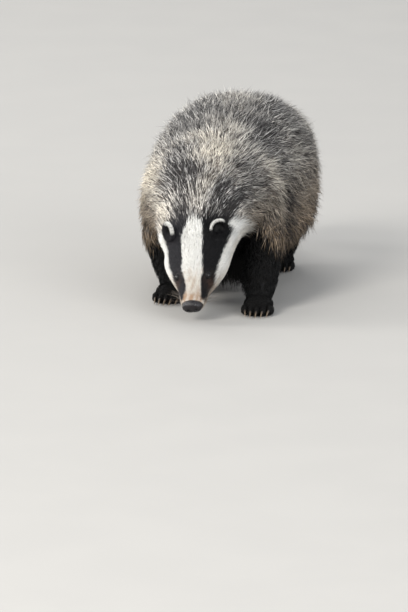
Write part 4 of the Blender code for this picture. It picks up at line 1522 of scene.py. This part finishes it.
legCoat = {
    "density": 15.0,
    "length": 0.026,
    "ankleLength": 0.012,
    "skirtLength": 0.042,
    "width": 0.0016,
    "ankleWidth": 0.0011,
    "skirtWidth": 0.0006,  # added to the width in the grey fur
    "greyLight": 0.60,
    "grid": (110, 90),
    "bodyGap": 0.026,  # how deep in the trunk a root may lie
    # height above which the fur is grey on the inner and on the outer side
    "foreLine": (0.152, 0.112),
    "hindLine": (0.165, 0.118),
}
pawCoat = {
    "density": 46.0,
    "length": 0.0065,
    "width": 0.0009,
    # where the fur begins on the palm and toes, and where it ends, from 0 at the tip to pi
    "start": 0.35,
    "palmEnd": 3.0,
    "toeEnd": 2.85,
    "soleGap": 0.0035,
    "legGap": 0.013,
    "grid": (26, 30),
}


def blackTones(brown):
    # black with a little brown from hair to hair
    tip = mixed(tiled("black", len(brown)), tones["brownBlack"], brown)
    tip *= rng.uniform(0.6, 1.4, len(brown))[:, None]
    return [tip, tip * 0.8, tip * 0.7]


def growLegs(kind):
    parts = []
    body = tubeOfTrunk(legCoat["bodyGap"])
    density = evenly(legCoat["density"] * 1e4)
    for column, leg in enumerate(name for name in legShape if kindOf(name) == kind):
        places, rows = legTable(leg)
        surface = legSurface(leg)

        def insetOf(place, angle):
            return legInset(smoothRows(places, rows, np.clip(place, 0, places[-1]))[:, 2])

        place, angle = scattered(surface, 0.02, places[-1] - 0.003, *legCoat["grid"], insetOf, density)
        inset = insetOf(place, angle)
        points = surface(place, angle, inset)
        keep = ~insideTube(points, *body)
        place, angle, inset, points = place[keep], angle[keep], inset[keep], points[keep]
        count = len(place)
        height = points[:, 2]
        outer = signOf(leg) * np.cos(angle)
        innerLine, outerLine = legCoat[kind + "Line"]
        line = innerLine + (outerLine - innerLine) * smoothStep(-0.3, 0.7, outer)
        grey = smoothStep(line - 0.008, line + 0.012, height + 0.006 * rng.normal(size=count).clip(-2, 2))
        low = smoothStep(0.10, 0.035, height)
        length = legCoat["length"] + (legCoat["ankleLength"] - legCoat["length"]) * low
        inner = np.clip(-outer, 0, 1) * bell(height, 0.058, 0.034)
        tips = inset * 0.7 * rng.random(count) ** 1.5
        plan = {
            "rootInset": inset,
            "tipInset": tips - (0.012 * inner + 0.006 * grey) * rng.random(count),
            "sink": 0.001,
            "length": length + (legCoat["skirtLength"] - length) * grey,
            "turn": 0.14 * softNoise(points, 0.05, 12),
            "swing": 9.0,
            "clumpSwing": 12.0,
            "clump": 0.55,
            "spacing": 0.012,
        }
        centre, out, key = grownTufts(surface, place, angle, plan)
        width = legCoat["width"] + (legCoat["ankleWidth"] - legCoat["width"]) * low
        black = blackTones(0.3 * smoothStep(0.06, 0.12, height) + 0.3 * key)
        streak = streaksOf(points, unit(centre[:, 2] - centre[:, 0]))
        furry = bodyTones(points, *nearestTrunk(points), key, streak)
        coloured = [mixed(a, legCoat["greyLight"] * b, grey) for a, b in zip(black, furry)]
        spots = unwrapOf(place, angle, 0.0, places[-1], column, 2)
        parts.append((centre, out, width + legCoat["skirtWidth"] * grey, *coloured, spots))
    centre, out, width, *coloured, spots = (np.concatenate(c) for c in zip(*parts))
    thing = tuftObject(kind + "legCoat", tuftsOf(centre, out, width), coloured, spots, coatFinish)
    keepCoat(thing)


def growPaws():
    parts = []
    density = evenly(pawCoat["density"] * 1e4)
    for number, paw in enumerate(pawShape):
        leg = tubeOfLeg(paw.replace("paw", "leg"), pawCoat["legGap"])
        eggs = pawParts(paw)
        for index, part in enumerate(eggs):
            surface = eggSurface(*part)
            inset = skinShape["toeInset" if index else "pawInset"]
            end = pawCoat["toeEnd" if index else "palmEnd"]
            place, angle = scattered(surface, pawCoat["start"], end, *pawCoat["grid"], evenly(inset), density)
            points = surface(place, angle, inset)
            keep = (points[:, 2] > pawCoat["soleGap"]) & ~insideTube(points, *leg)
            for other, (centre, size, turn) in enumerate(eggs):
                if other != index:
                    local = (points - centre) @ turn / (np.array(size) - 0.002)
                    keep &= (local**2).sum(axis=1) > 1
            place, angle, points = place[keep], angle[keep], points[keep]
            plan = {
                "rootInset": inset,
                "tipInset": inset * (0.1 + 0.8 * rng.random(len(place))) - 0.0006,
                "length": pawCoat["length"],
            }
            centre, out, _ = grownTufts(surface, place, angle, plan)
            column = number * len(eggs) + index
            parts.append((centre, out, unwrapOf(place, angle, 0.0, math.pi, column, 4 * len(eggs))))
    centre, out, spots = (np.concatenate(c) for c in zip(*parts))
    tufts = tuftsOf(centre, out, pawCoat["width"], 0.3, 0.2, 0.2)
    coloured = blackTones(0.2 + 0.4 * rng.random(len(out)))
    keepCoat(tuftObject("pawCoat", tufts, coloured, spots, coatFinish))


growLegs("fore")
growLegs("hind")
growPaws()

# coat of the tail and ears

tailCoatPlan = {
    "density": 19.0,
    "length": 0.064,
    "width": 0.0015,
    "darkTips": 0.30,
    "ends": (0.04, 0.93),
    "grid": (90, 80),
    "bodyGap": 0.030,
}
earCoatPlan = {
    "density": 150.0,
    "length": 0.0050,
    "width": 0.0007,
    "rimCount": 420,
    "rimLength": 0.0046,
    "rimAngles": (-35, 225),
    "rimPlaces": (0.27, 0.42),
    "rimBend": 0.0004,
    "ends": (0.05, 0.86),
    "grid": (60, 70),
    "bodyGap": 0.008,
    # places on the profile where the white of the rim begins, and where it ends inside each ear
    "whiteFrom": (0.26, 0.31),
    "fade": {1: (0.60, 0.67), -1: (0.60, 0.90)},
    # the right ear's dark takes the right stripe's charcoal, with its painted sheen
    "dark": {1: "charcoalLeft", -1: "charcoalRightPaintedSheen"},
}


def earWhite(angle, sign):
    # 1 from above the outer corner, over the top, to the inner side
    around = np.mod(np.degrees(np.arctan2(np.sin(angle), sign * np.cos(angle))), 360)
    return smoothStep(38, 60, around) * (1 - smoothStep(160, 184, around))


def rimTufts(sign):
    # hairs that stand out round the rim of the ear: root + way out * length, with a little bend to the front
    surface = earSurface(sign)
    count = earCoatPlan["rimCount"]
    angle = np.radians(rng.uniform(*earCoatPlan["rimAngles"], count))
    if sign < 0:
        angle = math.pi - angle
    place = rng.uniform(*earCoatPlan["rimPlaces"], count)
    root = surface(place, angle, skinShape["earInset"] + 0.0008)
    middle = headPoints(sign * earShape["place"][0], *earShape["place"][1:])
    forward = -earTurn(sign)[:, 1]
    way = root - middle
    way = unit(way - (way @ forward)[:, None] * forward)
    way = unit(way + 0.22 * rng.normal(size=(count, 3)) + 0.15 * forward)
    length = earCoatPlan["rimLength"] * rng.uniform(0.6, 1.15, count)[:, None]
    bend = earCoatPlan["rimBend"] * forward
    centre = np.stack((root, root + 0.55 * length * way + bend, root + length * way), 1)
    return centre, np.tile(forward, (count, 1)), angle


def growTail():
    density = evenly(tailCoatPlan["density"] * 1e4)
    share, angle = scattered(tailPoints, *tailCoatPlan["ends"], *tailCoatPlan["grid"], tailInset, density)
    points = tailPoints(share, angle, tailInset(share, angle))
    keep = ~insideTube(points, *tubeOfTrunk(tailCoatPlan["bodyGap"]))
    share, angle = share[keep], angle[keep]
    count = len(share)
    coat = tailRow(share)[4]
    plan = {
        "rootInset": tailInset(share, angle),
        "tipInset": coat * (0.55 * rng.random(count) - 0.30),
        "sink": 0.001,
        "length": tailCoatPlan["length"] * (1 - 0.35 * smoothStep(0.6, 1.0, share)),
        "turn": np.radians(14.0) * np.cos(angle),
        "swing": 11.0,
        "clumpSwing": 13.0,
        "clump": 0.6,
        "spacing": 0.015,
        "lift": 0.62,
        "stray": 0.085,
        "sag": 0.020 * share**2,
    }
    centre, out, key = grownTufts(tailPoints, share, angle, plan)
    tip = mixed(tiled("silver", count), tones["cream"], 0.6)
    darkTip = rng.random(count) < tailCoatPlan["darkTips"] * (1 - share)
    tip = mixed(tip, tones["band"] * 2, np.where(darkTip, 0.8, 0.0))
    tip *= (0.60 + 0.6 * clumpLight(key))[:, None]
    band = mixed(tiled("under", count), tones["band"], 0.55 - 0.35 * share)
    tufts = tuftsOf(centre, out, tailCoatPlan["width"], 0.4, 0.35, 0.5, 0.2)
    coloured, spots = (tip, band, tiled("under", count)), unwrapOf(share, angle, 0.0, 1.0)
    keepCoat(tuftObject("tailCoat", tufts, coloured, spots, coatFinish))


def growEars():
    parts = []
    body = tubeOfTrunk(earCoatPlan["bodyGap"])
    inset = skinShape["earInset"]

    def densityOf(place, angle):
        return earCoatPlan["density"] * 1e4 * (1 - 0.6 * smoothStep(0.66, 0.8, place))

    def keepPart(centre, out, place, angle, white):
        tip = mixed(tiled(earCoatPlan["dark"][sign], len(white)), tones["white"], white)
        parts.append((centre, out, tip, unwrapOf(place, angle, 0.0, 1.0, column, 2)))

    for column, sign in enumerate((1, -1)):
        surface = earSurface(sign)
        ends, grid = earCoatPlan["ends"], earCoatPlan["grid"]
        place, angle = scattered(surface, *ends, *grid, evenly(inset), densityOf)
        keep = ~insideTube(surface(place, angle, inset), *body)
        place, angle = place[keep], angle[keep]
        count = len(place)
        plan = {
            "rootInset": inset,
            "tipInset": -0.0010 - 0.0016 * rng.random(count),
            "length": earCoatPlan["length"] * (1 - 0.25 * smoothStep(0.3, 0.55, place)),
            "turn": np.where(place > 0.5, math.pi, 0.0) + 0.2 * rng.normal(size=count),
            "clumpSwing": 5.0,
            "clump": 0.1,
            "spacing": 0.004,
        }
        centre, out, _ = grownTufts(surface, place, angle, plan)
        faded = 1 - smoothStep(*earCoatPlan["fade"][sign], place)
        rim = smoothStep(*earCoatPlan["whiteFrom"], place) * faded
        keepPart(centre, out, place, angle, earWhite(angle, sign) * rim)
        centre, out, angle = rimTufts(sign)
        keepPart(centre, out, np.full(len(angle), 0.35), angle, earWhite(angle, sign))
    centre, out, tip, spots = (np.concatenate(c) for c in zip(*parts))
    tufts = tuftsOf(centre, out, earCoatPlan["width"], 0.35, 0.25, 0.15)
    keepCoat(tuftObject("earCoat", tufts, (tip, tip * 0.9, tip * 0.8), spots, coatFinish))


growTail()
growEars()

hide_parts("head", "neck", "torso", "tail", "ear_left", "ear_right", *legShape, *pawShape)

# eyes and lids

eyeShape = {
    "radius": 0.0056,
    "cornea": 0.0005,
    "look": (0.62, -0.42, 0.66),
    "iris": 0.62,
    "pupil": 0.24,
    "rings": 26,
    "sides": 36,
}
lidShape = {
    # angles from the middle of the eye, in degrees
    "corner": 48.0,
    "upper": 33.0,
    "lower": 30.0,
    "base": 118.0,
    "sides": 48,
    # share of the way from the edge to the base, and height over the eye
    "profile": (
        (1, 0.0),
        (0.5, 0.0002),
        (0.1, 0.0002),
        (0.0, 0.0003),
        (0.0, 0.0006),
        (0.08, 0.0009),
        (0.3, 0.0008),
        (0.7, 0.0),
        (1, -0.0010),
    ),
}


def eyeFrame(sign):
    # the way that the eye looks, the way back along the lids, and the way up across them
    look = unit(headTurn @ np.array((sign * eyeShape["look"][0], *eyeShape["look"][1:])))
    across = unit(np.cross(look, headTurn[:, 1])) * sign
    return look, np.cross(across, look) * sign, across


def makeEye(name, sign):
    # radius * (cos a * look + sin a * (cos b * back + sin b * up)), with a low bulge in front
    look, back, up = eyeFrame(sign)
    centre = headPoints(sign * eyePlace[0], eyePlace[1], eyePlace[2])
    turns = np.arange(eyeShape["sides"]) * fullTurn / eyeShape["sides"]
    polar, turn = np.meshgrid(np.linspace(0, math.pi, eyeShape["rings"])[1:-1], turns, indexing="ij")
    radius = eyeShape["radius"] + eyeShape["cornea"] * bell(polar, 0.0, 0.7)
    around = np.cos(turn)[..., None] * back + np.sin(turn)[..., None] * up
    grid = centre + radius[..., None] * (np.cos(polar)[..., None] * look + np.sin(polar)[..., None] * around)
    front = centre + (eyeShape["radius"] + eyeShape["cornea"]) * look
    thing = loft(name, grid + modelShift, front + modelShift, centre - eyeShape["radius"] * look + modelShift)
    ring = np.sin(polar).ravel() + (polar.ravel() > 1.57)
    giveNumbers(thing.data, "ring", np.concatenate((ring, (0.0, 2.0))))
    return thing


def eyeWiring(tree):
    ring = attribute(tree, "ring")
    pupil, iris = eyeShape["pupil"], eyeShape["iris"]
    dark, brown, ball = (rgba(screen(*c)) for c in ((4, 3, 3), (17, 11, 8), (12, 9, 8)))
    inner = colourMix(ramp(ring, pupil, pupil + 0.08), dark, brown)
    return {"Base Color": colourMix(ramp(ring, iris, iris + 0.1), inner, ball)}


def makeLid(name, sign):
    # a shell over the eye, open in an almond, with the profile from the inside over the edge
    look, back, up = eyeFrame(sign)
    centre = headPoints(sign * eyePlace[0], eyePlace[1], eyePlace[2])
    sides = lidShape["sides"]
    turn = np.arange(sides) * fullTurn / sides
    height = np.where(np.sin(turn) > 0, lidShape["upper"], lidShape["lower"])
    edge = np.radians(lidShape["corner"] + (height - lidShape["corner"]) * np.abs(np.sin(turn)) ** 0.8)
    base = math.radians(lidShape["base"])
    profile = np.array(lidShape["profile"])
    polar = edge[None] + (base - edge)[None] * profile[:, :1]
    radius = eyeShape["radius"] + 0.0001 + profile[:, 1:] + np.zeros_like(polar)
    around = np.cos(turn)[None, :, None] * back + np.sin(turn)[None, :, None] * up
    grid = centre + radius[..., None] * (np.cos(polar)[..., None] * look + np.sin(polar)[..., None] * around)
    faces = gridFaces(len(profile), sides, loop=True)
    return turnOutward(meshOf(name, grid.reshape(-1, 3) + modelShift, faces))


def lidWiring(tree):
    grain = noiseOf(tree, 1400.0, 3.0)
    return {
        "Base Color": colourMix(ramp(grain, 0.3, 0.7), rgba(screen(4, 4, 4)), rgba(screen(13, 11, 10))),
        "Roughness": ramp(grain, 0.2, 0.8, 0.6, 0.8),
        "Normal": bumpOf(grain, 0.0003),
    }


eyeGloss = {"Roughness": 0.10, "IOR": 1.36, "Coat Weight": 0.15, "Coat Roughness": 0.06}


eyeFinish = finish("eyeFinish", eyeGloss, eyeWiring)
lidFinish = finish("lidFinish", {"Specular IOR Level": 0.25}, lidWiring)
for name, sign in (("eye_left", 1), ("eye_right", -1)):
    side = name.split("_")[1].capitalize()
    eye = makeEye("eyeBall" + side, sign)
    eye.data.materials.append(eyeFinish)
    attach(eye, "root")
    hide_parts(name)
    lid = makeLid("lid" + side, sign)
    lid.data.materials.append(lidFinish)
    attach(lid, "root")
print("eyes")

# nose

nosePad = {
    "centre": (0.0, 0.0062, 0.0020),
    "half": (0.0172, 0.0085, 0.0118),
    "nostril": (0.0068, -0.0010),
    "nostrilSize": (0.0028, 0.0024),
    "nostrilDepth": 0.0042,
    "rings": 62,
    "sides": 88,
}


def makeNose():
    # a rounded box: half * sign|cos|^p by latitude and longitude, with two nostrils and a groove pressed in
    turns = np.arange(nosePad["sides"]) * fullTurn / nosePad["sides"]
    polar, turn = np.meshgrid(np.linspace(0, math.pi, nosePad["rings"])[1:-1], turns, indexing="ij")
    a, b, c = nosePad["half"]
    x = a * swell(np.sin(polar), 0.8) * swell(np.cos(turn), 0.86)
    z = c * swell(np.sin(polar), 0.8) * swell(np.sin(turn), 0.86)
    y = -b * swell(np.cos(polar), 0.72)
    z = z * (1 - 0.10 * (x / a) ** 2) + 0.0008 * bell(x, 0, 0.006)
    front = smoothStep(0.1, 0.6, np.cos(polar))
    across, high = np.abs(x) - nosePad["nostril"][0], z - nosePad["nostril"][1]
    wide, tall = nosePad["nostrilSize"]
    hole = np.exp(-((across / wide) ** 2 + (high / tall) ** 2) ** 1.6)
    comma = np.exp(-(((across - 0.0042) / 0.0034) ** 2 + ((high + 0.0012 + 0.25 * across) / 0.0011) ** 2))
    groove = bell(x, 0.0, 0.0008) * smoothStep(0.004, -0.002, z)
    rim = np.exp(-((np.hypot(across / wide, high / tall) - 1.5) / 0.35) ** 2)
    y = y + front * (nosePad["nostrilDepth"] * hole + 0.0016 * comma + 0.0011 * groove - 0.0005 * rim)
    side, back, up = nosePad["centre"]
    grid = headPoints(x + side, y + back, z + up)
    first, last = headPoints(0.0, back - b + 0.0011, up), headPoints(0.0, back + b, up)
    thing = loft("nosePad", grid + modelShift, first + modelShift, last + modelShift)
    # painted shade: this number, from how deep the nostrils and their slits are pressed in, darkens them
    giveNumbers(thing.data, "deep", np.concatenate(((front * np.maximum(hole, 0.6 * comma)).ravel(), (0, 0))))
    return thing


def noseWiring(tree):
    inputs = {"Vector": placeOf(tree), "Scale": 1300.0, "Smoothness": 0.6}
    pebble = Wire.make(tree, "TexVoronoi", {"feature": "SMOOTH_F1"}, inputs, 0)
    damp = noiseOf(tree, 160.0, 3.0)
    colour = colourMix(ramp(damp, 0.3, 0.7), rgba(screen(15, 13, 14)), rgba(screen(27, 23, 25)))
    return {
        # painted shade in the nostrils: near black where the pad is pressed in
        "Base Color": colourMix(attribute(tree, "deep"), colour, rgba(screen(6, 5, 5))),
        "Roughness": ramp(damp, 0.3, 0.7, 0.24, 0.38),
        "Normal": bumpOf(pebble, 0.0004, 0.8),
    }


nose = makeNose()
nose.data.materials.append(finish("noseFinish", {"IOR": 1.42}, noseWiring))
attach(nose, "root")
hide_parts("nose")
print("nose")

# claws and whiskers

clawShape = {"rings": 14, "sides": 12, "flat": 0.82, "arch": 0.0012}
whiskerShape = {"count": 12, "radius": 0.00022, "length": 0.034, "rings": 7, "sides": 5, "bend": 0.16}


def tubeMesh(name, paths, radii, flat, sides):
    # circles square to each path, flattened sideways, in one mesh
    points, faces, along, start = [], [], [], 0
    turn = np.arange(sides) * fullTurn / sides
    for path, radius in zip(paths, radii):
        way = unit(np.gradient(path, axis=0))
        across = unit(np.cross(way, (0.0, 0.35, 1.0)))
        up = np.cross(across, way)
        ring = flat * np.cos(turn)[None, :, None] * across[:, None]
        ring = ring + np.sin(turn)[None, :, None] * up[:, None]
        grid = path[:, None] + radius[:, None, None] * ring
        points += [grid.reshape(-1, 3), path[:1], path[-1:]]
        faces += [[corner + start for corner in face] for face in gridFaces(len(path), sides)]
        along += [np.repeat(np.linspace(0, 1, len(path)), sides), (0.0, 1.0)]
        start += len(path) * sides + 2
    thing = turnOutward(meshOf(name, np.concatenate(points) + modelShift, faces))
    giveNumbers(thing.data, "along", np.concatenate(along))
    return thing


def clawPaths():
    # root + way * length * s, dropping by drop * s^1.6 under a low arch
    paths, radii = [], []
    share = np.linspace(0, 1, clawShape["rings"])
    for paw in pawShape:
        length = toeShape[kindOf(paw)][2]
        for centre, size, lean in pawParts(paw)[1:]:
            way = lean @ np.array((0.0, -1.0, 0.0))
            root = centre + way * size[1] * 0.62
            root[2] = centre[2] + 0.0008
            path = root + way * (length * share)[:, None]
            drop = root[2] - toeShape["clawClearance"]
            path[:, 2] = root[2] + clawShape["arch"] * np.sin(math.pi * share) - drop * share**1.6
            paths.append(path)
            radii.append(toeShape["clawRadius"] * (1 - 0.85 * share**1.3))
    return paths, radii


def clawWiring(tree):
    along = attribute(tree, "along")
    streak = noiseOf(tree, 700.0, 4.0)
    colour = colourMix(ramp(along, 0.2, 1.0), rgba(screen(44, 36, 30)), rgba(screen(116, 100, 80)))
    return {
        "Base Color": colourMix(ramp(streak, 0.4, 0.7, 0.0, 0.35), colour, rgba(screen(34, 28, 24))),
        "Roughness": ramp(streak, 0.2, 0.8, 0.30, 0.5),
        "Normal": bumpOf(streak, 0.0002),
    }


def whiskerPaths():
    # from the sides of the muzzle outwards and back, bent down a little
    paths, radii = [], []
    share = np.linspace(0, 1, whiskerShape["rings"])[:, None]
    for sign in (1, -1):
        for number in range(whiskerShape["count"]):
            back = 0.016 + 0.017 * rng.random()
            level = math.radians(rng.uniform(-32, 22))
            angle = np.array((level if sign > 0 else math.pi - level,))
            root = trunkPoints(np.array((back - headShape["length"],)), angle, np.array((0.003,)))[0]
            way = headTurn @ np.array((sign * 1.0, 0.55 + 0.3 * rng.random(), math.sin(level) * 0.9))
            length = whiskerShape["length"] * rng.uniform(0.6, 1.0)
            bend = np.array((0, 0, -whiskerShape["bend"] * length))
            path = root + unit(way) * length * share + bend * share**2
            path[:, 2] = np.maximum(path[:, 2], 0.002)
            paths.append(path)
            radii.append(whiskerShape["radius"] * (1 - 0.8 * share[:, 0]))
    return paths, radii


def whiskerWiring(tree):
    along = ramp(attribute(tree, "along"), 0.0, 1.0)
    return {"Base Color": colourMix(along, rgba(screen(40, 34, 30)), rgba(screen(120, 110, 98)))}


claws = tubeMesh("claws", *clawPaths(), clawShape["flat"], clawShape["sides"])
claws.data.materials.append(finish("clawFinish", {"IOR": 1.5}, clawWiring))
whiskers = tubeMesh("whiskers", *whiskerPaths(), 1.0, whiskerShape["sides"])
whiskers.data.materials.append(finish("whiskerFinish", {"Roughness": 0.4}, whiskerWiring))
for piece, slotName in ((claws, "dark_coat"), (whiskers, "face")):
    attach(piece, "root")
print("claws and whiskers")

# floor, light and camera

stage = {"size": 60.0, "floor": screen(152, 150, 146), "world": (0.92, 0.95, 1.0), "worldStrength": 0.95}
view = {
    "azimuth": 10.0,
    "elevation": 11.0,
    "distance": 10.5,
    "pixelsPerMetre": 585.0,
    "frame": (408, 612),
    "noseAt": (192.2, 306.5),
}
lights = {
    # place, size, power, colour
    "key": ((-3.0, -5.6, 4.0), 2.8, 605.0, (1.0, 0.975, 0.94)),
    "fill": ((4.6, -4.6, 2.4), 3.8, 270.0, (0.97, 0.98, 1.0)),
    "rear": ((-2.0, 4.5, 5.0), 3.5, 190.0, (1.0, 0.98, 0.95)),
    "side": ((-5.2, 0.6, 2.6), 2.2, 190.0, (1.0, 0.99, 0.97)),
}


def makeFloor():
    half = stage["size"] / 2
    corners = ((-half, -half, 0.0), (half, -half, 0.0), (half, half, 0.0), (-half, half, 0.0))
    floor = meshOf("floor", corners, [(0, 1, 2, 3)])

    def wiring(tree):
        grain = noiseOf(tree, 6.0, 3.0)
        return {
            "Base Color": colourMix(ramp(grain, 0.3, 0.7), rgba(stage["floor"] * 0.96), rgba(stage["floor"])),
            "Roughness": ramp(grain, 0.2, 0.8, 0.75, 0.9),
        }

    floor.data.materials.append(finish("floorFinish", {}, wiring))


def makeLights():
    for name, (place, size, power, colour) in lights.items():
        lamp = bpy.data.lights.new(name, "AREA")
        lamp.size = size
        lamp.energy = power
        lamp.color = colour
        thing = bpy.data.objects.new(name, lamp)
        bpy.context.scene.collection.objects.link(thing)
        thing.location = place
        thing.rotation_euler = aimed(place, (0.0, 0.0, 0.15))
    world = bpy.data.worlds.new("world")
    bpy.context.scene.world = world
    world.use_nodes = True
    sky = world.node_tree.nodes["Background"]
    sky.inputs["Color"].default_value = rgba(stage["world"])
    sky.inputs["Strength"].default_value = stage["worldStrength"]


def aimed(place, target):
    # turns the -Z axis from the place to the target, with the top up
    x, y, z = np.array(target) - np.array(place)
    return (math.atan2(math.hypot(x, y), -z), 0.0, math.atan2(y, x) - math.pi / 2)


def makeCamera():
    # far back with a long lens, so that the nose falls on its place in the photo's frame
    a, e = math.radians(view["azimuth"]), math.radians(view["elevation"])
    back = np.array((math.sin(a) * math.cos(e), -math.cos(a) * math.cos(e), math.sin(e)))
    right = np.array((math.cos(a), math.sin(a), 0.0))
    up = np.cross(back, right)
    lowest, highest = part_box("nose")
    middle = (np.array(lowest) + np.array(highest)) / 2
    (across, down), (width, height) = view["noseAt"], view["frame"]
    scale = view["pixelsPerMetre"]
    aim = middle - right * (across - width / 2) / scale + up * (down - height / 2) / scale
    place = aim + back * view["distance"]
    camera = bpy.data.cameras.new("camera")
    camera.sensor_fit = "VERTICAL"
    camera.sensor_height = 36.0
    camera.lens = scale * view["distance"] / height * camera.sensor_height
    camera.clip_end = 200.0
    thing = bpy.data.objects.new("camera", camera)
    bpy.context.scene.collection.objects.link(thing)
    thing.location = place
    thing.rotation_euler = aimed(place, aim)
    bpy.context.scene.camera = thing


makeFloor()
makeLights()
makeCamera()
bpy.context.scene.view_settings.view_transform = "Standard"

bpy.context.view_layer.update()
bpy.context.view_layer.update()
tuftCount = sum(len(c.data.polygons) // len(tuftShape["starts"]) for c in coats)
print("triangles in the coat", tuftCount * tuftShape["triangles"])
